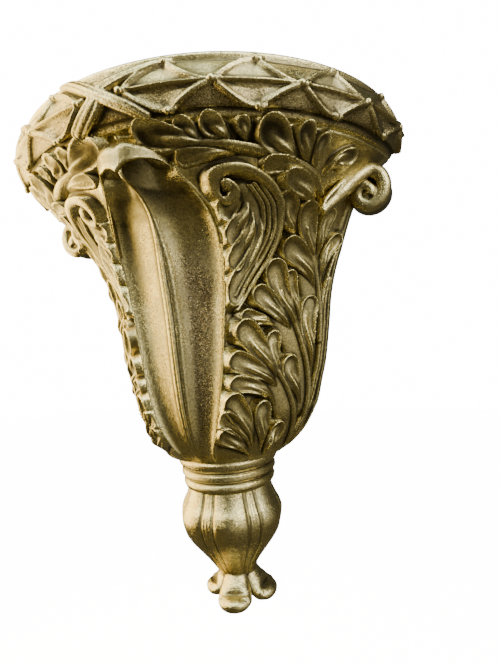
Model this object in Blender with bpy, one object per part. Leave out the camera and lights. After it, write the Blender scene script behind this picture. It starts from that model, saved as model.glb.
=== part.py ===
"""Wall console bracket: a half-round shelf on a fluted bell with acanthus sides.

The bracket is one casting. The wall is the plane y = 0, the front looks along -Y
and +Z is up. The origin is on the wall face, level with the middle of the shelf's rim.
Sizes are in millimetres and the finished mesh is scaled to metres.
"""
import math

import bmesh
import bpy
import numpy as np
from mathutils import Matrix, Vector

MM = 0.001

# Shelf
SHELF_Y = 11.4           # the rim's circle has its centre this far behind the wall face
SHELF_TOP = 15.5         # height of the shelf's flat top
KNOT_FIRST = 5.2         # degrees from the centre to the first knot of the middle row
KNOT_STEP = 18.4         # degrees between knots of one row
KNOT_HEIGHTS = {"top": 10.1, "middle": 0.0, "bottom": -9.8}
RIM_SINK = 0.9           # the cells of the rim lie this far under its ribs
RIB = 1.35               # half the width of the rim's ribs
RIB_FOOT = 1.15          # how deep they stand in the rim
KNOT = 2.1               # radius of the knots where they meet

# Neck and finial
NECK_Y = -9.0            # their axis stands this far in front of the wall
NECK_EDGE = 12.5         # half of the front panel's angle at the neck, in degrees
PETAL_STEP = 54.0        # degrees between the finial's petals
FINIAL_TURN = -6.0       # the finial sits turned by this much
LEAN = 2.0               # the neck and the finial stand this far to the right of the middle
LEAN_BELOW = 1.2         # and the feet this much further
# The feet of the finial: azimuth, distance of the heel from the axis, lowest level, size
FEET = [(-60, 8.5, -267.4, 0.97), (12, 11.5, -270.5, 1.1), (88, 10.5, -270.4, 1.1)]

# Working values
SIDE_RETURN = 7.5        # the side panels end this far in front of the wall
BEHIND_WALL = 3.0        # everything is built this far behind the wall, then cut flat
VOXEL = 0.85             # size of the remesh that fuses the carving into one casting
TRIANGLES = 9400         # what the finished casting is reduced to
THINNEST = 1.25          # thinner ribs than this don't last in the casting's solid
PANEL_SPAN = 75.0        # side panels are drawn 75 units wide, from flute edge to wall edge


def curve(table):
    """Smooth monotone interpolation through a few (place, value) pairs."""
    rows = sorted(table)
    x = np.array([row[0] for row in rows], float)
    y = np.array([row[1] for row in rows], float)
    step = np.diff(x)
    slope = np.diff(y) / step
    tangent = np.zeros(len(x))
    for i in range(1, len(x) - 1):
        if slope[i - 1] * slope[i] > 0:
            tangent[i] = 2 * slope[i - 1] * slope[i] / (slope[i - 1] + slope[i])
    tangent[0], tangent[-1] = slope[0], slope[-1]

    def read(at):
        at = np.clip(np.asarray(at, float), x[0], x[-1])
        i = np.clip(np.searchsorted(x, at) - 1, 0, len(step) - 1)
        t = (at - x[i]) / step[i]
        low = (1 + 2 * t) * (1 - t) ** 2 * y[i] + t * (1 - t) ** 2 * step[i] * tangent[i]
        high = t * t * (3 - 2 * t) * y[i + 1] - t * t * (1 - t) * step[i] * tangent[i + 1]
        return low + high
    return read


def ease(x):
    x = np.clip(x, 0.0, 1.0)
    return x * x * (3 - 2 * x)


# Outline of the bell at each height: the front ridge, the two edges of the front panel,
# the wall edge, and how far each side panel swells past the straight line between them.
RIDGE = curve([(-175, 40.6), (-169, 46.6), (-155, 55.0), (-137, 59.8), (-114, 62.6), (-92, 64.4),
               (-76, 66.8), (-56, 70.3), (-42, 75.5), (-36, 81.0), (-32, 87.5), (-29, 96.5),
               (-27, 98.0), (-22, 96.0), (-17, 95.0), (-13, 98.0), (-11, 99.5)])
EDGE_X = curve([(-175, 8.4), (-167, 10.8), (-157, 15.0), (-144, 19.2), (-128, 22.5), (-106, 25.6),
                (-85, 27.9), (-66, 29.9), (-54, 30.7), (-42, 29.8), (-34, 25.4), (-26, 20.2),
                (-21, 19.6), (-16, 20.6), (-11, 24.1)])
EDGE_Y = curve([(-175, 39.6), (-167, 48.8), (-157, 53.6), (-144, 56.0), (-128, 56.8), (-106, 56.6),
                (-85, 56.6), (-66, 58.9), (-54, 61.9), (-42, 67.1), (-34, 75.2), (-26, 84.2),
                (-21, 86.0), (-16, 87.0), (-13, 90.0), (-11, 97.0)])
WALL_X = curve([(-175, 38.2), (-171.2, 43.8), (-164.8, 50.2), (-158.6, 54.4), (-152.4, 57.9),
                (-146.3, 60.8), (-134.2, 64.1), (-122.2, 67.3), (-110.3, 69.4), (-98.4, 71.2),
                (-86.6, 72.8), (-74.9, 75.3), (-63.4, 78.9), (-57.8, 81.0), (-48.6, 84.2),
                (-37.3, 88.6), (-28, 93.4), (-22.9, 97.4), (-16, 104.7), (-11, 111.6)])
SWELL = curve([(-175, 8.0), (-168, 5.0), (-155, 2.4), (-140, 1.0), (-120, 0.2), (-90, 0.2),
               (-65, 1.6), (-48, 5.0), (-38, 9.5), (-30, 13.5), (-23, 16.2), (-11, 18.5)])
FLUTE_DEPTH = curve([(-175, 0.4), (-164, 2.0), (-138, 3.5), (-106, 4.3), (-66, 5.2), (-45, 5.8),
                     (-30, 6.0), (-22, 5.0), (-11, 2.0)])
# The flutes' own sweep under the lip, which the ridge stands out of
FLUTE_SWEEP = curve([(-44, 74.5), (-38, 77.3), (-32, 80.5), (-26, 83.9), (-20, 87.4), (-16, 90.5),
                     (-13, 97.0), (-11, 99.5)])
PANEL_SINK = curve([(-175, 0.0), (-167, 1.6), (-148, 2.4), (-66, 2.4), (-42, 2.0), (-30, 0.6),
                    (-20, 0.0), (-11, 0.0)])

# Radius of the turned rows below the bell, and of the shelf above it
NECK = curve([(-196.0, 25.0), (-195.2, 26.6), (-193.9, 28.1), (-191.9, 28.7), (-190.0, 28.2),
              (-188.9, 27.2), (-188.0, 28.2), (-186.2, 29.6), (-184.0, 29.4), (-182.6, 28.2),
              (-181.7, 29.2), (-179.8, 30.8), (-177.2, 31.2), (-175.6, 30.6), (-174.0, 31.0)])
PETALS = curve([(-259, 4.0), (-256, 9.5), (-251, 12.3), (-246, 15.0), (-241, 18.3), (-233.4, 24.0),
                (-227, 28.7), (-220.7, 31.9), (-213, 33.3), (-208, 32.1), (-203, 29.5), (-198, 27.6),
                (-194.5, 26.6)])
RIM = [(112.5, -11.0), (114.8, -10.9), (116.6, -9.8), (118.0, -7.6), (119.2, -5.0), (119.9, -2.5),
       (120.0, 0.0), (119.8, 2.5), (119.2, 5.0), (118.2, 7.6), (117.0, 10.1), (115.0, 12.8),
       (113.4, 14.5), (112.0, 15.5)]


def panel(s, z, h):
    """A place on the right side panel: s from flute edge to wall, height z, h outwards."""
    p = np.asarray(s, float) / PANEL_SPAN
    z = np.asarray(z, float)
    ax, ay, bx = EDGE_X(z), -EDGE_Y(z), WALL_X(z)
    dx, dy = bx - ax, -SIDE_RETURN - ay
    size = np.hypot(dx, dy)
    nx, ny = dy / size, -dx / size
    lift = SWELL(z) * 4 * p * (1 - p) + h
    return np.stack([ax + dx * p + nx * lift, ay + dy * p + ny * lift, z + 0 * p], -1)


def front(q, z, h):
    """A place on the right half of the front panel: q from the ridge (0) to its edge (1)."""
    ax, ay = 0 * z, -RIDGE(z)
    bx, by = EDGE_X(z), -EDGE_Y(z)
    dx, dy = bx - ax, by - ay
    size = np.hypot(dx, dy)
    nx, ny = dy / size, -dx / size
    return np.stack([ax + dx * q + nx * h, ay + dy * q + ny * h, z + 0 * q], -1)


def flute(q, z):
    """How far the front lies under the straight line from ridge to edge: a fillet, a hollow."""
    size = np.hypot(EDGE_X(z), RIDGE(z) - EDGE_Y(z))
    scale = np.clip(size / 27.0, 0.3, 1.0) * (1 - 0.75 * ease((z + 75) / 40))
    start = 4.7 * scale
    out = q * size
    t = np.clip((out - start) / (size - start), 0.0, 1.0)
    hollow = 1.3 * scale * (1 - t) + FLUTE_DEPTH(z) * (1 - np.abs(2 * t - 1) ** 3.4)
    proud = np.clip(RIDGE(z) - FLUTE_SWEEP(z), 0, None)
    hollow = hollow + proud * (1 - q) * ease(t / 0.6)
    return -np.where(out < start, 1.0 * scale * ease(out / (2.0 * scale)), hollow)


def petal_factor(azimuth):
    """How the finial's round section is cut into rounded petals with strips between them."""
    side = np.abs(((azimuth / PETAL_STEP + 0.5) % 1.0 - 0.5) * 2)
    petal = 1.0 - 0.055 * (1 - np.clip((side - 0.2) / 0.8, 0, 1)) ** 2
    furrow = 0.022 * np.exp(-((side - 0.27) / 0.07) ** 2)
    strip = 0.012 * ease((0.24 - side) / 0.05)
    return petal - furrow + strip


def lean(z):
    """How far the casting leans to the right at a height below the bell."""
    return LEAN + LEAN_BELOW * ease((-246.0 - z) / 6.0)


def mesh_sheet(columns, rows, shape, closed=False):
    """A grid whose points shape(u, v) places; closed joins its two long sides."""
    bm = bmesh.new()
    bmesh.ops.create_grid(bm, x_segments=columns, y_segments=rows, size=0.5)
    bm.verts.ensure_lookup_table()
    uv = np.array([vert.co[:2] for vert in bm.verts]) + 0.5
    places = shape(uv[:, 0], uv[:, 1])
    for vert, place in zip(bm.verts, places):
        vert.co = place
    if closed:
        bmesh.ops.remove_doubles(bm, verts=bm.verts, dist=1e-4)
        edges = [edge for edge in bm.edges if edge.is_boundary]
        bmesh.ops.holes_fill(bm, edges=edges, sides=0)
    return bm


def finish(bm, target):
    """Turn the faces outwards and add the shape to the target mesh."""
    bmesh.ops.recalc_face_normals(bm, faces=bm.faces)
    mesh = bpy.data.meshes.new("carving")
    bm.to_mesh(mesh)
    bm.free()
    target.from_mesh(mesh)
    bpy.data.meshes.remove(mesh)


def mirrored(bm, target):
    """Add a shape and its mirror image across the centre plane."""
    twin = bm.copy()
    bmesh.ops.transform(twin, matrix=Matrix.Diagonal((-1, 1, 1, 1)), verts=twin.verts)
    finish(bm, target)
    finish(twin, target)


def body_columns():
    """Column stations from the right wall to the left: kind, place along it, side."""
    side = [0.0, 0.012, 0.03, 0.06, 0.1, 0.16, 0.24, 0.33, 0.42, 0.51, 0.6, 0.69, 0.78, 0.86,
            0.92, 0.955, 0.975, 1.0]
    half = [0.0, 0.04, 0.09, 0.15, 0.2, 0.26, 0.34, 0.44, 0.55, 0.66, 0.76, 0.85, 0.92]
    right = [("wall", 1.0)] + [("side", p) for p in reversed(side)]
    right += [("front", q) for q in reversed(half)]
    stations = [(kind, place, 1.0) for kind, place in right]
    stations += [(kind, place, -1.0) for kind, place in reversed(right[:-1])]
    return stations


def body_rows():
    """Heights of the rows, from the finial's end to the shelf's underside."""
    finial = list(np.linspace(-259, -195, 28))
    neck = list(np.linspace(-194.5, -175.5, 26))
    bell = list(np.linspace(-175, -40, 58)) + list(np.linspace(-38.5, -11, 24))
    return finial, neck, bell


def turned_point(kind, place, side, radius, z, edge_angle, axis_y):
    """A point of a round row, at the azimuth of its column."""
    wall_angle = 90 - math.degrees(math.asin(max(axis_y, 0.0) / radius))
    shift = float(lean(z)) if axis_y == NECK_Y else 0.0
    if kind == "front":
        azimuth = place * edge_angle
    else:
        azimuth = edge_angle + place * (wall_angle - edge_angle)
    if kind == "wall":
        return Vector((shift + side * math.sin(math.radians(wall_angle)) * radius, BEHIND_WALL, z))
    turn = math.radians(azimuth)
    return Vector((shift + side * radius * math.sin(turn), axis_y - radius * math.cos(turn), z)), azimuth


def body_point(kind, place, side, z):
    """A point of the bell's own surface."""
    if kind == "front":
        x, y, z = front(place, z, flute(place, z))
    else:
        sunk = PANEL_SINK(z) * ease(place * PANEL_SPAN / 1.6) * ease((1 - place) * PANEL_SPAN / 4.0)
        x, y, z = panel(place * PANEL_SPAN, z, -sunk)
        if kind == "wall":
            y = BEHIND_WALL
    return Vector((side * x, y, z))


def make_core(target):
    """The bell, neck, finial and shelf as one closed sheet of rows."""
    stations = body_columns()
    finial, neck, bell = body_rows()
    rows = []
    for z in finial:
        row = []
        for kind, place, side in stations:
            point = turned_point(kind, place, side, float(PETALS(z)), z, NECK_EDGE, NECK_Y)
            if kind != "wall":
                point, azimuth = point
                factor = float(petal_factor(side * azimuth - FINIAL_TURN))
                centre = Vector((float(lean(z)), NECK_Y, z))
                point = centre + (Vector((point.x, point.y, z)) - centre) * factor
            row.append(point)
        rows.append(row)
    for z in neck:
        row = []
        for kind, place, side in stations:
            point = turned_point(kind, place, side, float(NECK(z)), z, NECK_EDGE, NECK_Y)
            row.append(point if kind == "wall" else point[0])
        rows.append(row)
    for z in bell:
        rows.append([body_point(kind, place, side, z) for kind, place, side in stations])
    for radius, z in RIM:
        row = []
        for kind, place, side in stations:
            point = turned_point(kind, place, side, radius - RIM_SINK * (abs(z) < 9), z, 12.0, SHELF_Y)
            row.append(point if kind == "wall" else point[0])
        rows.append(row)
    bm = bmesh.new()
    grid = [[bm.verts.new(point) for point in row] for row in rows]
    for low, high in zip(grid, grid[1:]):
        for i in range(len(stations) - 1):
            bm.faces.new((low[i], low[i + 1], high[i + 1], high[i]))
    bm.faces.new(grid[0])
    bm.faces.new(grid[-1])
    bm.faces.new([row[0] for row in grid] + [row[-1] for row in reversed(grid)])
    bmesh.ops.triangulate(bm, faces=[face for face in bm.faces if len(face.verts) > 4])
    finish(bm, target)


def drawn(points, count):
    """A smooth line through a few places, with its points evenly spaced."""
    points = np.array(points, float)
    ends = np.concatenate([[2 * points[0] - points[1]], points, [2 * points[-1] - points[-2]]])
    line = []
    for a, b, c, d in zip(ends, ends[1:], ends[2:], ends[3:]):
        t = np.linspace(0, 1, 24, endpoint=False)[:, None]
        line.append(0.5 * (2 * b + (c - a) * t + (2 * a - 5 * b + 4 * c - d) * t ** 2
                           + (3 * b - 3 * c + d - a) * t ** 3))
    line = np.concatenate(line + [points[-1:]])
    run = np.concatenate([[0], np.cumsum(np.linalg.norm(np.diff(line, axis=0), axis=1))])
    at = np.linspace(0, run[-1], count)
    return np.stack([np.interp(at, run, column) for column in line.T], -1)


def leaf_lobe(place, points, width, lift, root=-0.4, depth=9.0, hollow=0.36):
    """A leaf lobe along points from its tip to its base: a hollowed hood on a rounded stalk."""
    path = drawn(points[::-1], 60)
    ahead = np.gradient(path, axis=0)
    ahead /= np.linalg.norm(ahead, axis=1, keepdims=True)
    knots = np.linspace(0, 1, len(path))
    fullest = 0.7

    def shape(u, v):
        axis = np.stack([np.interp(u, knots, path[:, i]) for i in range(2)], -1)
        side = np.stack([-np.interp(u, knots, ahead[:, 1]), np.interp(u, knots, ahead[:, 0])], -1)
        cap = np.sqrt(np.clip(1 - (np.clip(u - fullest, 0, 1) / (1 - fullest)) ** 2, 0, 1))
        half = width * (0.26 + 0.74 * ease(u / fullest)) * np.where(u > fullest, cap, 1.0)
        across = 2 * v - 1
        at = axis + side * (half * across)[:, None]
        rise = root + (lift - root) * ease(0.12 + u / 0.8)
        along = ease((u - 0.3) / 0.42) * (1 - 0.6 * ease((u - 0.85) / 0.15))
        bowl = hollow * width * (1 - across ** 2) * along
        swell = 0.5 * half * (1 - across ** 2) * (1 - ease((u - 0.25) / 0.45))
        return place(at[:, 0], at[:, 1], rise - bowl + swell)
    bm = mesh_sheet(13, 6, shape)
    sink(bm, place, depth)
    return bm


def sink(bm, place, depth):
    """Close a lobe: its outline goes straight in towards the ground."""
    inward = inward_direction(place)
    made = bmesh.ops.extrude_face_region(bm, geom=bm.faces[:])["geom"]
    for vert in (item for item in made if isinstance(item, bmesh.types.BMVert)):
        vert.co += inward(vert.co) * depth


def inward_direction(place):
    """Which way is in: across the side panel, or towards the axis on the frieze."""
    if place is panel:
        return lambda co: Vector((-0.71, 0.70, 0.0))
    return lambda co: Vector((-co.x, SHELF_Y - co.y, 30.0)).normalized()


# The frieze under the rim is drawn on a cone; a is the distance round it, in millimetres
FRIEZE_R = curve([(-38, 84), (-30, 91), (-23, 99), (-13, 108.5), (-9, 112)])
FRIEZE_SCALE = math.degrees(1) / 98.0


def frieze(a, z, h):
    turn = np.radians(np.asarray(a, float) * FRIEZE_SCALE)
    radius = FRIEZE_R(z) + h
    return np.stack([radius * np.sin(turn), SHELF_Y - radius * np.cos(turn), z + 0 * turn], -1)


def swept(points, radii, place, steps, sides, flat=1.0):
    """A tube along points given in a surface's own units, with a radius at each point."""
    path = np.array(points, float)
    knots = np.linspace(0, 1, len(path))
    follow = [curve(list(zip(knots, path[:, i]))) for i in range(3)]
    thick = curve(list(zip(knots, radii)))

    def centre(u):
        return place(follow[0](u), follow[1](u), follow[2](u))

    def shape(u, v):
        here = centre(u)
        ahead = centre(np.clip(u + 0.004, 0, 1)) - centre(np.clip(u - 0.004, 0, 1))
        ahead /= np.linalg.norm(ahead, axis=1, keepdims=True)
        out = np.stack([here[:, 0], here[:, 1] + 6.0, 0 * u], -1)
        out -= ahead * np.sum(out * ahead, axis=1, keepdims=True)
        out /= np.linalg.norm(out, axis=1, keepdims=True)
        side = np.cross(ahead, out)
        turn = 2 * math.pi * v
        size = thick(u)[:, None]
        return here + size * (out * (flat * np.cos(turn))[:, None] + side * np.sin(turn)[:, None])
    return mesh_sheet(steps, sides, shape, closed=True)


def free(x, y, z):
    """Plain coordinates, for parts that stand clear of a panel."""
    return np.stack([np.asarray(x, float), np.asarray(y, float), np.asarray(z, float)], -1)


# Acanthus lobes of a side panel: places from tip to base on the panel, half width and lift
PANEL_LOBES = [
    ([(4.2, -88.0), (6.5, -77.0), (13.8, -66.5), (19.5, -53.0), (19.0, -36.0)], 5.4, 3.8),
    ([(3.2, -70.5), (7.8, -61.5), (14.5, -51.5), (17.0, -37.0)], 4.8, 3.9),
    ([(2.2, -58.0), (7.0, -50.5), (12.8, -44.0), (16.5, -35.5)], 4.2, 4.0),
    ([(1.2, -46.5), (5.5, -41.8), (11.0, -38.5), (15.5, -35.0)], 3.9, 4.0),
    ([(33.0, -32.5), (38.0, -31.6), (44.0, -35.5), (50.0, -43.0)], 4.6, 5.0),
    ([(33.5, -35.0), (34.2, -38.5), (35.5, -46.0), (43.0, -57.0)], 4.4, 3.0),
    ([(44.8, -38.2), (45.5, -46.5), (51.0, -57.5), (61.0, -72.0)], 4.8, 5.0),
    ([(60.8, -40.0), (58.6, -46.0), (58.3, -54.0), (60.0, -67.0)], 3.4, 4.4),
    ([(72.6, -52.3), (67.0, -58.0), (64.8, -66.0), (65.5, -80.0)], 4.2, 4.6),
    ([(33.0, -57.8), (39.0, -60.0), (48.0, -65.5), (58.0, -75.0), (64.0, -87.0)], 5.8, 4.6),
    ([(41.3, -70.6), (42.2, -78.5), (47.5, -88.5), (54.5, -103.0)], 4.2, 3.6),
    ([(60.8, -85.0), (58.0, -92.0), (58.0, -102.0), (61.5, -115.5), (65.5, -133.0)], 5.8, 4.4),
    ([(27.5, -65.5), (31.0, -73.5), (37.0, -84.5), (46.0, -97.0), (53.5, -111.0)], 6.4, 5.0),
    ([(16.5, -80.8), (22.5, -83.6), (30.0, -88.5), (40.0, -97.0), (50.0, -109.0)], 5.2, 4.5),
    ([(9.5, -93.0), (18.0, -95.0), (27.0, -96.5), (38.0, -101.0)], 3.8, 3.4),
    ([(33.3, -102.5), (31.8, -109.5), (33.8, -118.0), (41.0, -131.0)], 4.6, 4.2),
    ([(45.6, -116.5), (46.5, -124.5), (52.0, -133.5), (61.0, -146.0)], 5.4, 4.6),
    ([(6.5, -98.0), (14.0, -103.0), (22.0, -111.0), (32.0, -121.5), (43.0, -134.0)], 6.6, 5.0),
    ([(2.4, -114.8), (12.0, -118.0), (23.0, -123.0), (33.5, -129.0), (45.0, -139.0)], 5.4, 4.6),
    ([(3.8, -127.8), (13.0, -129.0), (22.5, -131.5), (32.5, -137.0), (43.5, -147.0)], 4.4, 4.2),
    ([(2.8, -134.6), (10.5, -142.0), (19.5, -153.0), (33.0, -170.0)], 6.2, 4.8),
    ([(28.2, -139.5), (29.5, -148.5), (33.5, -159.0), (38.0, -172.0)], 5.0, 4.4),
    ([(-1.0, -144.5), (8.5, -149.5), (19.5, -157.5), (31.0, -170.0)], 4.7, 4.2),
    ([(2.0, -153.5), (10.0, -158.5), (20.0, -164.5), (31.0, -172.5)], 4.2, 3.4),
    ([(46.5, -153.6), (44.5, -160.0), (42.5, -167.0), (42.0, -175.0)], 5.4, 4.0),
]
# Stems of a side panel: places with the height of their foot, and the radius from base to end
PANEL_STEMS = [
    ([(62.5, -168, 0.6), (55.8, -151, 1.4), (47.3, -136.5, 2.0), (38.5, -126, 2.4), (30.0, -117, 2.6),
      (24, -111, 2.4)],
     (2.1, 1.9, 1.7, 1.4, 0.9)),
    ([(66.3, -152, 0.6), (64.3, -137, 1.2), (59.0, -122.5, 1.8), (53.5, -111, 2.3), (46.5, -98.5, 2.6),
      (40.5, -89, 2.6), (36.0, -81.5, 2.2)],
     (1.9, 1.9, 1.8, 1.4, 0.9)),
    ([(69.0, -110, 0.2), (67.0, -92, 1.0), (63.2, -79.5, 1.6), (57.5, -68, 2.2), (50.0, -57, 2.6),
      (46.5, -50, 2.4)],
     (1.8, 1.7, 1.5, 1.2, 0.8)),
    ([(61.5, -166, 0.2), (67.6, -145, -0.2), (69.6, -128, -0.3), (69.8, -107, -0.3), (69.6, -90, -0.3),
      (71.0, -75, -0.3), (73.0, -61, -0.5)],
     (1.0, 1.0, 1.0)),
    ([(66.0, -162, -0.4), (70.6, -145, -0.8), (72.2, -128, -0.8), (72.4, -107, -0.8), (72.2, -90, -0.8),
      (73.2, -75, -0.8)],
     (0.9, 0.9, 0.9)),
]
# The swelling of the leaf under each stem
PANEL_BODIES = [
    ([(58, -166, -1.6), (50, -148, -1.2), (40, -132, -0.8), (28, -121, -0.8),
      (18, -112, -1.4)], (6, 9, 9, 6)),
    ([(63, -148, -1.6), (58, -126, -1.2), (50, -110, -0.8), (40, -95, -0.8),
      (32, -82, -1.2)], (5, 8, 9, 6)),
    ([(66, -105, -1.8), (62, -85, -1.2), (54, -68, -0.8), (48, -55, -1.2)], (5, 8, 8, 5)),
    ([(34, -172, -1.4), (27, -160, -1.0), (20, -150, -1.4)], (6, 8, 5)),
    ([(18, -38, -0.6), (17, -52, -0.8), (12, -68, -1.4)], (6, 8, 4)),
]
# Leaf spray and palmette under the rim: places from tip to base round the frieze
FRIEZE_LOBES = [
    ([(8.6, -13.6), (17.5, -15.8), (27.5, -17.8), (41.0, -19.2)], 4.8, 4.6),
    ([(24.6, -12.9), (29.0, -14.4), (32.0, -16.8), (36.0, -19.0)], 3.2, 3.8),
    ([(34.6, -12.2), (39.5, -14.2), (43.0, -16.4), (48.0, -19.6)], 3.6, 3.9),
    ([(49.2, -11.8), (51.0, -14.6), (52.0, -17.4), (53.0, -20.4)], 2.4, 3.4),
    ([(22.4, -23.4), (30.5, -22.8), (40.0, -21.8), (50.0, -21.2)], 2.5, 3.4),
    ([(57.6, -12.9), (63.0, -16.8), (70.0, -21.0), (82.0, -25.5)], 5.2, 5.2),
    ([(76.2, -11.8), (77.0, -15.8), (80.0, -20.0), (86.0, -26.0)], 3.4, 4.8),
    ([(86.5, -14.2), (86.5, -18.5), (87.5, -23.0), (91.0, -28.0)], 2.6, 4.0),
    ([(109.4, -19.0), (101.0, -20.6), (97.0, -24.5), (98.0, -31.0)], 3.2, 4.4),
    ([(60.6, -26.8), (69.5, -26.0), (80.0, -26.6), (94.0, -30.5)], 2.8, 5.0),
]
FRIEZE_STEM = ([(22, -18.8, 0.8), (32.5, -18.8, 1.6), (43.5, -19.4, 1.9), (54.5, -20.8, 2.0),
                (66, -22.8, 2.2), (78, -25.4, 2.6), (90.5, -29, 2.8), (101, -35.0, 2.4),
                (104.5, -41, 1.8)], (0.9, 1.2, 1.4, 1.7, 2.0, 2.0))


def make_leaves(target):
    for points, radii in PANEL_BODIES:
        mirrored(swept(points, radii, panel, 20, 8, flat=0.3), target)
    for points, width, lift in PANEL_LOBES:
        lift *= 1 - 0.5 * (points[0][0] / PANEL_SPAN) ** 2
        mirrored(leaf_lobe(panel, points, width, lift), target)
    for points, radii in PANEL_STEMS:
        mirrored(swept(points, [max(radius, THINNEST) for radius in radii], panel, 24, 8), target)
    for points, width, lift in FRIEZE_LOBES:
        mirrored(leaf_lobe(frieze, points, width, lift), target)
    points, radii = FRIEZE_STEM
    mirrored(swept(points, [max(radius, THINNEST) for radius in radii], frieze, 30, 8), target)


# The inner leaf's band with its curl: places on the panel and the height of its foot
INNER_BAND = [(7.5, -90.0, 1.6), (11.0, -85.5, 1.4), (14.8, -79.5, 1.5), (20.0, -72.5, 1.7),
              (24.6, -66.0, 2.0), (27.8, -59.0, 2.3), (29.3, -52.0, 2.5), (29.6, -45.0, 2.6),
              (28.6, -38.5, 2.8), (26.4, -33.8, 3.0), (23.2, -30.4, 3.2), (19.3, -28.2, 3.3),
              (15.3, -27.7, 3.4), (11.3, -28.5, 3.4), (8.2, -30.4, 3.4), (5.6, -33.4, 3.3),
              (4.0, -36.6, 3.2), (4.8, -39.0, 3.2), (7.8, -38.8, 3.3), (10.6, -37.0, 3.5),
              (11.8, -34.9, 3.7), (10.8, -33.2, 4.0), (9.6, -33.8, 4.4)]
# The big volute against the wall: x, y and z of its band and of the strip along it, and the
# middles of its eye and of the web behind it
VOLUTE_BAND = [(76.5, -35.8, -43.5), (81.2, -29.4, -37.0), (87.0, -26.0, -31.5), (92.8, -20.0, -24.8),
               (99.4, -15.6, -20.2), (104.9, -14.2, -22.6), (107.0, -14.0, -29.0),
               (104.6, -14.2, -35.2), (98.4, -14.8, -38.4), (93.4, -15.4, -35.0), (93.8, -16.0, -30.4),
               (97.4, -16.4, -28.4), (100.4, -16.6, -31.2), (99.4, -16.8, -33.8)]
VOLUTE_STRIP = [(77.5, -36.5, -40.5), (80.0, -34.5, -36.0), (86.5, -29.0, -28.5), (91.8, -21.5, -22.0),
                (96.9, -17.5, -18.4), (101.9, -15.5, -17.0), (106.0, -14.5, -19.6),
                (109.0, -13.5, -24.5)]
VOLUTE_EYE = (97.6, -13.2, -33.2)
VOLUTE_WEB = (99.6, -3.5, -29.6)


def make_scrolls(target):
    """The band of the inner leaf with its curl, and the big volute at the wall."""
    radii = (1.2, 1.3, 1.5, 1.7, 2.0, 2.2, 2.2, 2.0, 1.8, 1.7, 1.8)
    mirrored(swept(INNER_BAND, radii, panel, 64, 10), target)
    radii = (2.6, 3.2, 3.6, 3.8, 4.0, 3.9, 3.7, 3.4, 3.0, 2.8, 2.9)
    mirrored(swept(VOLUTE_BAND, radii, free, 72, 12), target)
    mirrored(swept(VOLUTE_STRIP, (1.0, 1.4, 1.4, 1.4, 1.3, 1.0), free, 36, 8), target)
    eye = bmesh.new()
    bmesh.ops.create_icosphere(eye, subdivisions=2, radius=5.0)
    bmesh.ops.translate(eye, vec=VOLUTE_EYE, verts=eye.verts)
    mirrored(eye, target)
    web = bmesh.new()
    bmesh.ops.create_cone(web, segments=28, radius1=11.8, radius2=11.0, depth=19.0, cap_ends=True)
    bmesh.ops.rotate(web, matrix=Matrix.Rotation(math.pi / 2, 3, "X"), verts=web.verts)
    bmesh.ops.translate(web, vec=VOLUTE_WEB, verts=web.verts)
    mirrored(web, target)


LIP_DEPTH = 13.0         # how far the lip reaches back over the flutes
ARCH_DROP = 2.4          # the left arch hangs this much lower
# The lip from the middle to the side: its crease (x, y, z), its lower edge (x, y, z), and
# how far it bulges between them
LIP = [
    (0.0, -97.5, -14.0, 0.0, -98.8, -28.4, 4.4),
    (4.0, -97.5, -14.0, 3.0, -98.6, -25.8, 4.4),
    (8.5, -96.0, -14.8, 7.0, -97.6, -24.3, 4.0),
    (13.0, -92.4, -16.8, 12.0, -94.0, -23.2, 3.2),
    (17.6, -86.0, -19.6, 17.0, -88.2, -23.6, 2.2),
    (22.8, -76.8, -23.6, 21.3, -80.6, -28.6, 1.2),
    (26.6, -70.6, -29.8, 24.0, -74.6, -34.2, 0.8),
    (29.4, -64.6, -39.5, 27.4, -68.2, -42.6, 0.5),
    (30.4, -61.4, -49.5, 29.0, -64.2, -50.5, 0.3),
    (30.4, -59.8, -57.0, 29.3, -61.8, -57.5, 0.2),
]


def make_lip(target):
    """The pillow-like lip; its lower edge makes two arches that overhang the flutes."""
    half = drawn(LIP, 60)
    left = half[:0:-1] * np.array([-1, 1, 1, -1, 1, 1, 1])
    left[:, 5] -= ARCH_DROP * np.exp(-((left[:, 3] + 10) / 6) ** 2)
    line = np.concatenate([left, half])
    knots = np.linspace(0, 1, len(line))

    def shape(u, v):
        row = np.stack([np.interp(u, knots, line[:, i]) for i in range(7)], -1)
        top, edge, bulge = row[:, :3], row[:, 3:6], row[:, 6]
        out = np.stack([0.012 * row[:, 0], -1 + 0 * bulge, -0.12 + 0 * bulge], -1)
        deep = top - out * LIP_DEPTH
        t = np.clip(v / 0.5, 0.0, 1.0)
        full = np.sin(math.pi / 2 * np.clip(t / 0.45, 0, 1)) ** 0.75
        swell = bulge * (full - 0.6 * t) * np.sqrt(1 - np.clip((t - 0.92) / 0.08, 0, 1) ** 2)
        outer = top + (edge - top) * t[:, None] + out * swell[:, None]
        t = np.clip((v - 0.5) / 0.3, 0.0, 1.0)
        hood = np.stack([0 * t, 1.5 * np.sin(math.pi * t), 3.0 * np.sin(math.pi * t)], -1)
        inner = edge + (deep - edge) * t[:, None] + hood
        back = deep + (top - deep) * np.clip((v - 0.8) / 0.2, 0.0, 1.0)[:, None]
        return np.where((v < 0.5)[:, None], outer, np.where((v < 0.8)[:, None], inner, back))
    finish(mesh_sheet(72, 20, shape, closed=True), target)


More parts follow.
